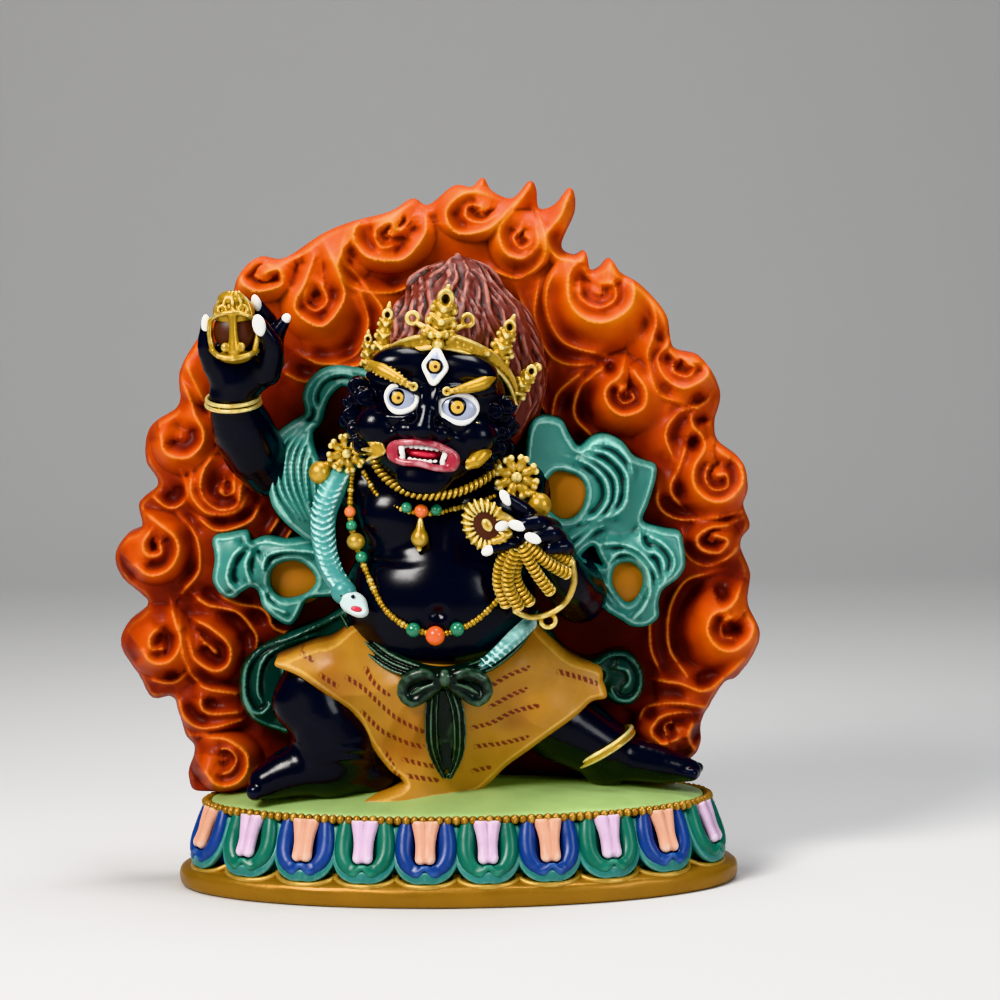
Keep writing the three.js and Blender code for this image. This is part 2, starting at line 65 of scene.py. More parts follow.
# %% Camera
CAMERA_DISTANCE = 750.0
CAMERA_ELEVATION = 6.0
CAMERA_ROLL = -0.7
CAMERA_AIM = Vector((9.8, 0.0, 81.2))
CAMERA_LENS = 128.0

camera_data = bpy.data.cameras.new("camera")
camera_data.lens = CAMERA_LENS
camera_data.sensor_width = 36.0
camera_data.clip_start = 0.05
camera = bpy.data.objects.new("camera", camera_data)
bpy.context.scene.collection.objects.link(camera)
rise = math.radians(CAMERA_ELEVATION)
back = Vector((0.0, -math.cos(rise), math.sin(rise)))
turn = Matrix.Rotation(math.radians(CAMERA_ROLL), 4, "Z")
camera.matrix_world = (Matrix.Translation((CAMERA_AIM + back * CAMERA_DISTANCE) * MM)
                       @ (-back).to_track_quat("-Z", "Y").to_matrix().to_4x4() @ turn)
bpy.context.scene.camera = camera
print("camera at", [round(v, 3) for v in camera.matrix_world.translation])

# %% [markdown]
# ## Light and floor
# Gloss paint is seen by what it reflects, so the lights are large soft panels: one high on the
# left that makes the long highlights, a weaker one on the right, and one from above for the
# rims. The floor is one pale sheet that curves up behind, and it isn't part of the object.


# %% Studio lights
def panel(name, place, aim, size, watts, tint=(1.0, 1.0, 1.0)):
    """A soft square light at a place, turned towards a point. Both are in millimetres."""
    data = bpy.data.lights.new(name, "AREA")
    data.shape = "SQUARE"
    data.size = size * MM
    data.energy = watts
    data.color = tint
    lamp = bpy.data.objects.new(name, data)
    bpy.context.scene.collection.objects.link(lamp)
    lamp.location = Vector(place) * MM
    direction = Vector(aim) - Vector(place)
    lamp.rotation_euler = direction.to_track_quat("-Z", "Y").to_euler()
    return lamp


panel("key_light", (-300, -380, 430), (0, 0, 80), 220, 4.3, (1.0, 0.97, 0.93))
panel("fill_light", (460, -420, 260), (0, 0, 70), 240, 1.3, (0.94, 0.97, 1.0))
panel("top_light", (60, 20, 520), (0, 0, 80), 240, 2.0)
world = bpy.data.worlds.new("pale_room")
world.use_nodes = True
world.node_tree.nodes["Background"].inputs["Color"].default_value = (0.86, 0.88, 0.92, 1.0)
world.node_tree.nodes["Background"].inputs["Strength"].default_value = 0.14
bpy.context.scene.world = world
bpy.context.scene.view_settings.view_transform = "Khronos PBR Neutral"

# %% [markdown]
# ## Node helpers
# A finish is a small network of shader nodes. Building one by hand takes many lines, so a helper
# makes a node, sets its values and joins its inputs in one call.


# %% One call for each node
def add_node(tree, kind, inputs=None, **settings):
    """A new node. An input that is given a socket is linked to it, and any other value is set."""
    made = tree.nodes.new(kind)
    for key, value in settings.items():
        setattr(made, key, value)
    for key, value in (inputs or {}).items():
        if isinstance(value, bpy.types.NodeSocket):
            tree.links.new(value, made.inputs[key])
        else:
            made.inputs[key].default_value = value
    return made


def maths(tree, operation, first, second=0.0, third=0.0, clamp=False):
    """The result of one Math node."""
    made = add_node(tree, "ShaderNodeMath", {0: first, 1: second, 2: third},
                    operation=operation, use_clamp=clamp)
    return made.outputs[0]


def blended(tree, share, first, second, kind="MIX"):
    """Two colours mixed by a share from 0 to 1."""
    made = add_node(tree, "ShaderNodeMix", data_type="RGBA", blend_type=kind)
    for key, value in ((0, share), (6, first), (7, second)):
        if isinstance(value, bpy.types.NodeSocket):
            tree.links.new(value, made.inputs[key])
        else:
            made.inputs[key].default_value = value
    return made.outputs[2]


def span(tree, value, low, high, to_low=0.0, to_high=1.0, smooth=True):
    """A value moved from one range to another, with soft ends."""
    made = add_node(tree, "ShaderNodeMapRange", {0: value, 1: low, 2: high, 3: to_low, 4: to_high},
                    interpolation_type="SMOOTHSTEP" if smooth else "LINEAR")
    return made.outputs[0]


def colour(red, green, blue):
    """A colour given in screen values from 0 to 255, as Blender's linear one."""
    parts = [value / 255 for value in (red, green, blue)]
    return tuple(v / 12.92 if v <= 0.04045 else ((v + 0.055) / 1.055) ** 2.4 for v in parts) + (1.0,)


print("node helpers ready")

# %% [markdown]
# ## Hand paint
# Every part is painted by brush, and the colour is a little uneven. The hollows are darker and the
# raised edges lighter. Part of this is the painter's own dark washes and dry brushing, and part is
# painted shade in the hollows and painted highlight on the edges. All paints share one node group
# for this. It reads the number called relief that each sculpted mesh carries, above zero on edges
# and below zero in hollows.


# %% The hand paint group
def make_hand_paint():
    group = bpy.data.node_groups.new("hand_paint", "ShaderNodeTree")
    face = group.interface
    for name, kind, value in (("Paint", "NodeSocketColor", (0.5, 0.5, 0.5, 1)),
                              ("Wash", "NodeSocketColor", (0.05, 0.05, 0.05, 1)),
                              ("Edge", "NodeSocketColor", (0.8, 0.8, 0.8, 1)),
                              ("Wash Amount", "NodeSocketFloat", 0.7),
                              ("Edge Amount", "NodeSocketFloat", 0.5),
                              ("Unevenness", "NodeSocketFloat", 0.12),
                              ("Roughness", "NodeSocketFloat", 0.4),
                              ("Grain", "NodeSocketFloat", 900.0)):
        face.new_socket(name, in_out="INPUT", socket_type=kind).default_value = value
    for name, kind in (("Colour", "NodeSocketColor"), ("Roughness", "NodeSocketFloat"),
                       ("Height", "NodeSocketFloat")):
        face.new_socket(name, in_out="OUTPUT", socket_type=kind)
    given = add_node(group, "NodeGroupInput").outputs
    place = add_node(group, "ShaderNodeTexCoord").outputs["Object"]
    relief = add_node(group, "ShaderNodeAttribute", attribute_name="relief").outputs["Fac"]
    patches = add_node(group, "ShaderNodeTexNoise", {"Vector": place, "Scale": 130.0, "Detail": 3.0})
    grain = add_node(group, "ShaderNodeTexNoise", {"Vector": place, "Scale": given["Grain"], "Detail": 4.0})
    # Lighter raised edges: partly dry brushing, partly painted highlight.
    ragged = maths(group, "MULTIPLY_ADD", grain.outputs[0], 0.5, maths(group, "SUBTRACT", relief, 0.25))
    edge = maths(group, "MULTIPLY", span(group, ragged, 0.3, 1.0), given["Edge Amount"])
    # Darker hollows: partly washes, partly painted shade.
    hollow = span(group, maths(group, "MULTIPLY", relief, -1.0), 0.05, 0.9)
    wash_and_shade = maths(group, "MULTIPLY", hollow, given["Wash Amount"])
    drift = maths(group, "SUBTRACT", patches.outputs[0], 0.5)
    shade = maths(group, "MULTIPLY_ADD", drift, maths(group, "MULTIPLY", given["Unevenness"], 3.0), 1.0)
    uneven = add_node(group, "ShaderNodeVectorMath", {0: given["Paint"], "Scale": shade}, operation="SCALE")
    washed_and_shaded = blended(group, wash_and_shade, uneven.outputs[0], given["Wash"])
    edged = blended(group, edge, washed_and_shaded, given["Edge"])
    rough = maths(group, "MULTIPLY_ADD", drift, 0.25, given["Roughness"])
    rough = maths(group, "MULTIPLY_ADD", hollow, 0.15, rough, clamp=True)
    add_node(group, "NodeGroupOutput", {"Colour": edged, "Roughness": rough, "Height": grain.outputs[0]})
    return group


HAND_PAINT = make_hand_paint()
print("hand paint has", len(HAND_PAINT.nodes), "nodes")


# %% A paint made from the group
def paint(name, base, wash_and_shade, edge, roughness=0.4, wash_and_shade_amount=0.7, edge_amount=0.5, unevenness=0.12,
          metallic=0.0, coat=0.0, coat_roughness=0.15, grain=900.0, bump=0.25, specular=0.5, tinted=None):
    """A painted finish. Its second colour goes in the hollows, as washes and as painted shade, and its third on the
    edges, as dry brushing and as painted highlight. tinted may change the base colour: it takes the tree and the
    colour.
    """
    material = bpy.data.materials.new(name)
    material.use_nodes = True
    tree = material.node_tree
    shader = tree.nodes["Principled BSDF"]
    brushed = add_node(tree, "ShaderNodeGroup", node_tree=HAND_PAINT)
    for key, value in (("Paint", base), ("Wash", wash_and_shade), ("Edge", edge), ("Wash Amount", wash_and_shade_amount),
                       ("Edge Amount", edge_amount), ("Unevenness", unevenness),
                       ("Roughness", roughness), ("Grain", grain)):
        brushed.inputs[key].default_value = value
    if tinted:
        tree.links.new(tinted(tree, base), brushed.inputs["Paint"])
    tree.links.new(brushed.outputs["Colour"], shader.inputs["Base Color"])
    tree.links.new(brushed.outputs["Roughness"], shader.inputs["Roughness"])
    lift = add_node(tree, "ShaderNodeBump", {"Height": brushed.outputs["Height"], "Strength": bump,
                                             "Distance": 0.1 * MM})
    tree.links.new(lift.outputs["Normal"], shader.inputs["Normal"])
    shader.inputs["Metallic"].default_value = metallic
    shader.inputs["Coat Weight"].default_value = coat
    shader.inputs["Coat Roughness"].default_value = coat_roughness
    shader.inputs["Specular IOR Level"].default_value = specular
    return material


# Each paint gives a base colour, then the dark colour of its hollows, partly washes and partly painted shade, then the
# light colour of its edges, partly dry brushing and partly painted highlight.
GOLD = paint("gold_paint", colour(190, 150, 58), colour(34, 18, 5), colour(255, 240, 168),
             roughness=0.32, wash_and_shade_amount=1.0, edge_amount=0.85, metallic=0.55, bump=0.35)
FOOT_GOLD = paint("foot_gold", colour(152, 108, 36), colour(62, 36, 8), colour(226, 190, 104),
                  roughness=0.38, wash_and_shade_amount=0.85, edge_amount=0.6, metallic=0.45, bump=0.5)
NAVY = paint("body_navy", colour(7, 9, 20), colour(2, 2, 6), colour(22, 28, 52), roughness=0.26,
             wash_and_shade_amount=0.5, edge_amount=0.3, coat=0.22, coat_roughness=0.16, bump=0.06, specular=0.22)
print("first paints ready")

# %% [markdown]
# ## From numbers to a mesh
# Large meshes come out of numpy arrays. This helper writes the arrays straight into a Blender
# mesh and shades it smooth. Then relief is measured: a copy of the points is averaged with
# their neighbours a few times, and where a point stands above its average it lies on an edge.


# %% Mesh makers
def new_piece(name, points, quads=None, triangles=None, material=None, outward=True):
    """An object made of arrays of points in millimetres and of faces."""
    parts = [np.asarray(faces, np.int32) for faces in (quads, triangles) if faces is not None and len(faces)]
    points = np.asarray(points, np.float32)
    if outward and signed_volume(points, parts) < 0:
        parts = [faces[:, ::-1] for faces in parts]
    loops = np.concatenate([faces.ravel() for faces in parts])
    sizes = np.concatenate([np.full(len(faces), faces.shape[1]) for faces in parts])
    mesh = bpy.data.meshes.new(name)
    mesh.vertices.add(len(points))
    mesh.vertices.foreach_set("co", (points * MM).ravel())
    mesh.loops.add(len(loops))
    mesh.loops.foreach_set("vertex_index", loops.astype(np.int32))
    mesh.polygons.add(len(sizes))
    mesh.polygons.foreach_set("loop_start", (np.cumsum(sizes) - sizes).astype(np.int32))
    mesh.update(calc_edges=True)
    mesh.validate()
    mesh.polygons.foreach_set("use_smooth", np.ones(len(mesh.polygons), bool))
    piece = bpy.data.objects.new(name, mesh)
    bpy.context.scene.collection.objects.link(piece)
    if material:
        mesh.materials.append(material)
    return piece


def signed_volume(points, parts):
    """Above zero where the faces of a closed shape look outwards."""
    total = 0.0
    for faces in parts:
        for second in range(1, faces.shape[1] - 1):
            a, b, c = points[faces[:, 0]], points[faces[:, second]], points[faces[:, second + 1]]
            total += float(np.einsum("ij,ij->i", a, np.cross(b, c)).sum())
    return total


def read_points(mesh):
    found = np.empty(len(mesh.vertices) * 3, np.float32)
    mesh.vertices.foreach_get("co", found)
    return found.reshape(-1, 3)


def read_edges(mesh):
    found = np.empty(len(mesh.edges) * 2, np.int32)
    mesh.edges.foreach_get("vertices", found)
    return found.reshape(-1, 2)


def averaged(points, edges, times):
    """The points after each has moved to the middle of its neighbours, a number of times."""
    count = len(points)
    share = np.bincount(edges.ravel(), minlength=count).clip(1)[:, None]
    for _ in range(times):
        total = np.empty_like(points)
        for axis in range(points.shape[1]):
            total[:, axis] = (np.bincount(edges[:, 0], points[edges[:, 1], axis], count)
                              + np.bincount(edges[:, 1], points[edges[:, 0], axis], count))
        points = 0.5 * points + 0.5 * total / share
    return points


def measure_relief(piece, times=8, depth=0.12):
    """Writes relief on a mesh: how far each point stands above its surroundings, as a share of depth."""
    mesh = piece.data
    points = read_points(mesh)
    edges = read_edges(mesh)
    normals = np.empty(len(mesh.vertices) * 3, np.float32)
    mesh.vertex_normals.foreach_get("vector", normals)
    apart = ((points - averaged(points, edges, times)) * normals.reshape(-1, 3)).sum(1)
    relief = averaged((apart / (depth * MM))[:, None].astype(np.float32), edges, 2)[:, 0]
    write_number(mesh, "relief", relief.clip(-1, 1))
    return relief


def write_number(mesh, name, values):
    layer = mesh.attributes.get(name) or mesh.attributes.new(name, "FLOAT", "POINT")
    layer.data.foreach_set("value", np.asarray(values, np.float32))


def read_number(mesh, name):
    values = np.empty(len(mesh.vertices), np.float32)
    mesh.attributes[name].data.foreach_get("value", values)
    return values


finished = []


def keep(piece, node):
    """Attaches a finished piece to the root body, hides the imported solid it replaces and prints its number of
    triangles.
    """
    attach(piece, "root")
    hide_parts(node)
    finished.append(piece)
    faces = sum(len(p.vertices) - 2 for p in piece.data.polygons)
    print(piece.name, faces, "triangles")
    return piece


print("mesh makers ready")

# %% [markdown]
# ## Carved plates
# The flames and the scarf are carved in low relief: fat licks or folds, each with a thin bright
# crest and a smooth hollow beside it. Seen from the front nothing overhangs, so each is a height
# field: a grid of points, each with its own height. Crests are smooth curves through a few
# points, and the height falls away on both sides of each one.


# %% Smooth curves through points
def smooth_line(points, spacing=0.4, closed=False):
    """Points close together on a Catmull-Rom curve through the given ones."""
    given = np.asarray(points, float)
    if closed:
        given = np.vstack([given[-1], given, given[0], given[1]])
    else:
        given = np.vstack([2 * given[0] - given[1], given, 2 * given[-1] - given[-2]])
    pieces = []
    for a, b, c, d in zip(given, given[1:], given[2:], given[3:]):
        count = max(2, int(np.linalg.norm(c - b) / spacing))
        t = np.linspace(0, 1, count, endpoint=False)[:, None]
        pieces.append(0.5 * (2 * b + (c - a) * t + (2 * a - 5 * b + 4 * c - d) * t ** 2
                             + (3 * b - a - 3 * c + d) * t ** 3))
    if not closed:
        pieces.append(given[-2][None])
    return np.vstack(pieces)


# %% [markdown]
# A crest has three parts: a broad flank, a sharp line along its top and a scooped groove beside it.
# The flank is long outside a spiral and short inside, and the side comes from the way the line
# bends. Crests are added as squares, so that a strong one isn't raised by weak ones beside it.


# %% The carved plate
class Plate:
    """A grid of points (x, z) in millimetres inside an outline that may have holes."""

    REACH = 5.0

    def __init__(self, outline, holes=(), cell=0.3, floor=-1000.0, scoop=0.75):
        self.cell, self.floor, self.scoop = cell, floor, scoop
        self.lines = [smooth_line(points, 0.3, closed=True) for points in (outline, *holes)]
        self.edge = np.vstack(self.lines)
        self.x = np.arange(self.edge[:, 0].min() - 1, self.edge[:, 0].max() + 1, cell)
        self.z = np.arange(max(self.edge[:, 1].min() - 1, floor), self.edge[:, 1].max() + 1, cell)
        self.gx, self.gz = np.meshgrid(self.x, self.z, indexing="ij")
        self.inside = self.find_inside()
        self.gap = np.full(self.gx.shape, self.REACH)
        self.edge_point = np.zeros(self.gx.shape, int)
        for index, (x, z) in enumerate(self.edge):
            area = self.window(x - self.REACH, x + self.REACH, z - self.REACH, z + self.REACH)
            gap = np.hypot(self.gx[area] - x, self.gz[area] - z)
            closer = gap < self.gap[area]
            self.gap[area] = np.where(closer, gap, self.gap[area])
            self.edge_point[area] = np.where(closer, index, self.edge_point[area])

    def window(self, low_x, high_x, low_z, high_z):
        """The slices of the grid that cover a rectangle."""
        a, b = np.searchsorted(self.x, (low_x, high_x))
        c, d = np.searchsorted(self.z, (low_z, high_z))
        return slice(a, b), slice(c, d)

    def find_inside(self):
        """True for the points inside the lines, found by counting crossings along each row."""
        inside = np.zeros(self.gx.shape, bool)
        start = self.edge
        end = np.vstack([np.roll(line, -1, 0) for line in self.lines])
        for column, z in enumerate(self.z):
            crossing = (start[:, 1] <= z) != (end[:, 1] <= z)
            a, b = start[crossing], end[crossing]
            places = a[:, 0] + (z - a[:, 1]) / (b[:, 1] - a[:, 1]) * (b[:, 0] - a[:, 0])
            inside[:, column] = (np.searchsorted(np.sort(places), self.x) % 2) == 1
        return inside

    def crests(self, strokes, reach=9.0):
        """Flanks, sharp lines and grooves of all strokes: each is a height, a width and its points."""
        flank, sharp, groove = (np.zeros(self.gx.shape) for _ in range(3))
        for height, width, points in strokes:
            line = smooth_line(points, 0.4)
            area = self.window(line[:, 0].min() - reach, line[:, 0].max() + reach,
                               line[:, 1].min() - reach, line[:, 1].max() + reach)
            x, z = self.gx[area], self.gz[area]
            squares = (x[..., None] - line[:, 0]) ** 2 + (z[..., None] - line[:, 1]) ** 2
            which = squares.argmin(-1)
            gap = np.sqrt(np.take_along_axis(squares, which[..., None], -1)[..., 0])
            ahead = np.gradient(line, axis=0)
            bend = np.gradient(np.unwrap(np.arctan2(ahead[:, 1], ahead[:, 0])))
            bend = np.convolve(np.pad(bend, 4, mode="edge"), np.ones(9) / 9, "valid")
            side = np.sign(ahead[which, 0] * (z - line[which, 1]) - ahead[which, 1] * (x - line[which, 0]))
            inner = np.clip(side * bend[which] / 0.06, -1, 1)
            wide = width * np.where(inner > 0, 1.0 - 0.35 * inner, 1.0 - 0.8 * inner)
            fade = np.interp(which, [0, 0.12 * len(line), 0.9 * len(line), len(line) - 1], [0.3, 1, 1, 0.7])
            flank[area] += (height * fade * np.exp(-gap / wide)) ** 2
            sharp[area] = np.maximum(sharp[area], fade * np.exp(-(gap / 0.5) ** 2))
            foot = np.exp(-((gap - self.scoop * width) / (0.72 * self.scoop * width)) ** 2)
            groove[area] = np.maximum(groove[area], height * fade * np.clip(0.3 + 0.7 * inner, 0, 1) * foot)
        return np.sqrt(flank), sharp, groove

    def swells(self, spots):
        """Where the carving swells forward: each has a middle, half-widths and a height."""
        total = np.zeros(self.gx.shape)
        for x, z, half_x, half_z, out in spots:
            inner = 1 - ((self.gx - x) / half_x) ** 2 - ((self.gz - z) / half_z) ** 2
            total += (out * np.clip(inner, 0, None) ** 0.8) ** 3
        return np.cbrt(total)

    def pits(self, spots):
        """Round hollows: each has a middle, a radius and a depth."""
        total = np.zeros(self.gx.shape)
        for x, z, radius, depth in spots:
            total += depth * np.exp(-((self.gx - x) ** 2 + (self.gz - z) ** 2) / radius ** 2)
        return total

    def edge_fall(self, width, drop):
        """How far the front falls back towards the edge, as a quarter round."""
        rounding = 1 - np.clip(self.gap / width, 0, 1)
        return drop * (1 - np.sqrt(np.clip(1 - rounding ** 2, 0, 1)))

    def read(self, values, points):
        """The grid's values at points (x, y, z), weighted between the four nearest."""
        column = np.clip((points[:, 0] - self.x[0]) / self.cell, 0, len(self.x) - 1.001)
        row = np.clip((points[:, 2] - self.z[0]) / self.cell, 0, len(self.z) - 1.001)
        i, k = column.astype(int), row.astype(int)
        s, t = column - i, row - k
        return ((1 - s) * (1 - t) * values[i, k] + s * (1 - t) * values[i + 1, k]
                + (1 - s) * t * values[i, k + 1] + s * t * values[i + 1, k + 1])

    def solid(self, name, front, rear, material, share=0.4, depth=0.2):
        """A closed mesh between two heights, with its relief. Points beside the outline move onto it."""
        kept = self.inside
        cells = kept[:-1, :-1] & kept[1:, :-1] & kept[:-1, 1:] & kept[1:, 1:]
        used = np.zeros(kept.shape, bool)
        for dx in (0, 1):
            for dz in (0, 1):
                used[dx:dx + cells.shape[0], dz:dz + cells.shape[1]] |= cells
        number = np.full(kept.shape, -1)
        number[used] = np.arange(used.sum())
        i, k = np.nonzero(cells)
        faces = np.stack([number[i, k], number[i + 1, k], number[i + 1, k + 1], number[i, k + 1]], 1)
        x, z, y_front, y_rear = self.gx[used].copy(), self.gz[used].copy(), front[used], rear[used]
        sides = np.concatenate([faces[:, [a, (a + 1) % 4]] for a in range(4)])
        key = np.sort(sides, 1)
        _, first, times = np.unique(key[:, 0] * len(x) + key[:, 1], return_index=True, return_counts=True)
        rim = sides[first[times == 1]]
        rim_points = np.unique(rim)
        target = self.edge[self.edge_point[used][rim_points]]
        near = (self.gap[used][rim_points] < 2.5 * self.cell) & (target[:, 1] > self.floor + 0.2)
        x[rim_points[near]] = target[near, 0]
        z[rim_points[near]] = target[near, 1]
        place = np.full(len(x), -1)
        place[rim_points] = np.arange(len(rim_points))
        evened = averaged(np.stack([x, z, y_front, y_rear], 1)[rim_points], place[rim], 3)
        x[rim_points], z[rim_points], y_front[rim_points], y_rear[rim_points] = evened.T
        count = len(x)
        points = np.concatenate([np.stack([x, y_front, z], 1), np.stack([x, y_rear, z], 1)])
        wall = np.stack([rim[:, 1], rim[:, 0], rim[:, 0] + count, rim[:, 1] + count], 1)
        piece = new_piece(name, points, np.concatenate([faces, faces[:, ::-1] + count, wall]), material=material)
        relief = measure_relief(piece, depth=depth).clip(-1, 1)
        inward = np.clip(self.gap[used] / 1.2, 0.3, 1) * np.clip((self.gz[used] - self.floor) / 1.5, 0, 1)
        write_number(piece.data, "relief", relief * np.tile(inward, 2))
        return thin_out(piece, share)


def thin_out(piece, share):
    """Leaves a share of a piece's triangles, with fewer where it is flat."""
    modifier = piece.modifiers.new("thin_out", "DECIMATE")
    modifier.ratio = share
    return finish_modifiers(piece)


SPECK_SIZE = 0.3


def find_islands(count, edges):
    """The lowest point number of the island that each point belongs to."""
    label = np.arange(count)
    while True:
        lowest = np.minimum(label[edges[:, 0]], label[edges[:, 1]])
        found = label.copy()
        np.minimum.at(found, edges[:, 0], lowest)
        np.minimum.at(found, edges[:, 1], lowest)
        found = found[found]
        if np.array_equal(found, label):
            return label
        label = found


def drop_specks(mesh):
    """Deletes loose islands smaller than a cell of clay, which pressing and thinning leave here and there."""
    points = read_points(mesh) / MM
    label = find_islands(len(points), read_edges(mesh))
    order = np.argsort(label, kind="stable")
    islands, first = np.unique(label[order], return_index=True)
    across = np.maximum.reduceat(points[order], first) - np.minimum.reduceat(points[order], first)
    specks = np.nonzero(np.isin(label, islands[across.max(1) < SPECK_SIZE]))[0]
    if len(specks):
        whole = bmesh.new()
        whole.from_mesh(mesh)
        whole.verts.ensure_lookup_table()
        bmesh.ops.delete(whole, geom=[whole.verts[index] for index in specks], context="VERTS")
        whole.to_mesh(mesh)
        whole.free()
        print(mesh.name, len(specks), "points of specks dropped")


def finish_modifiers(piece):
    """Replaces a piece's mesh by what its modifiers make of it, and removes them."""
    evaluated = piece.evaluated_get(bpy.context.evaluated_depsgraph_get())
    mesh = bpy.data.meshes.new_from_object(evaluated)
    drop_specks(mesh)
    piece.modifiers.clear()
    old = piece.data
    piece.data = mesh
    bpy.data.meshes.remove(old)
    mesh.name = piece.name
    return piece


print("carved plates ready")

# %% [markdown]
# ## The ring of flames
# Each lick of fire is a fat swelling that ends in a spiral. The lists below hold the whole
# drawing: the outline, the crests, the places that swell forward and the deep cores.

# %% Drawing of the flames
PLATE_FRONT = 6.0
PLATE_BACK = 14.0
FLAME_FLOOR = 18.85
FLAME_OUTLINE = [
    (-48.0, 16.0), (-55.3, 16.0), (-57.8, 22.0), (-56.2, 27.7), (-58.2, 31.0), (-60.5, 38.7),
    (-65.2, 38.8), (-67.9, 43.8), (-71.6, 49.9), (-70.2, 54.8), (-65.6, 59.4), (-71.0, 64.8),
    (-72.4, 69.6), (-69.8, 74.0), (-66.2, 76.0), (-67.0, 80.8), (-62.9, 84.9), (-65.4, 90.2),
    (-64.3, 97.0), (-58.2, 101.6), (-57.6, 109.0), (-52.4, 117.4), (-47.6, 121.4), (-44.9, 128.4),
    (-40.8, 132.6), (-35.4, 132.3), (-27.3, 137.3), (-21.1, 139.8), (-12.8, 141.9), (-8.0, 144.6),
    (-4.6, 143.2), (0.8, 147.2), (4.6, 146.9), (7.0, 148.9), (8.9, 146.0), (13.2, 144.4),
    (16.8, 148.0), (18.2, 146.6), (18.8, 142.2), (22.2, 143.0), (25.5, 146.6), (26.4, 142.0),
    (23.4, 134.6), (26.0, 132.3), (28.4, 133.2), (29.4, 129.2), (31.4, 129.6), (33.6, 131.6),
    (35.9, 128.5), (40.4, 125.6), (45.2, 119.8), (46.9, 112.6), (52.8, 110.3), (56.8, 103.0),
    (55.5, 96.4), (56.4, 92.4), (61.2, 88.2), (62.4, 82.6), (61.6, 78.8), (63.0, 74.2),
    (60.8, 70.6), (63.0, 64.0), (62.2, 58.2), (64.7, 51.0), (60.3, 42.2), (56.6, 40.4),
    (52.5, 32.6), (52.2, 27.8), (49.5, 23.6), (44.0, 22.0), (40.0, 16.0),
]

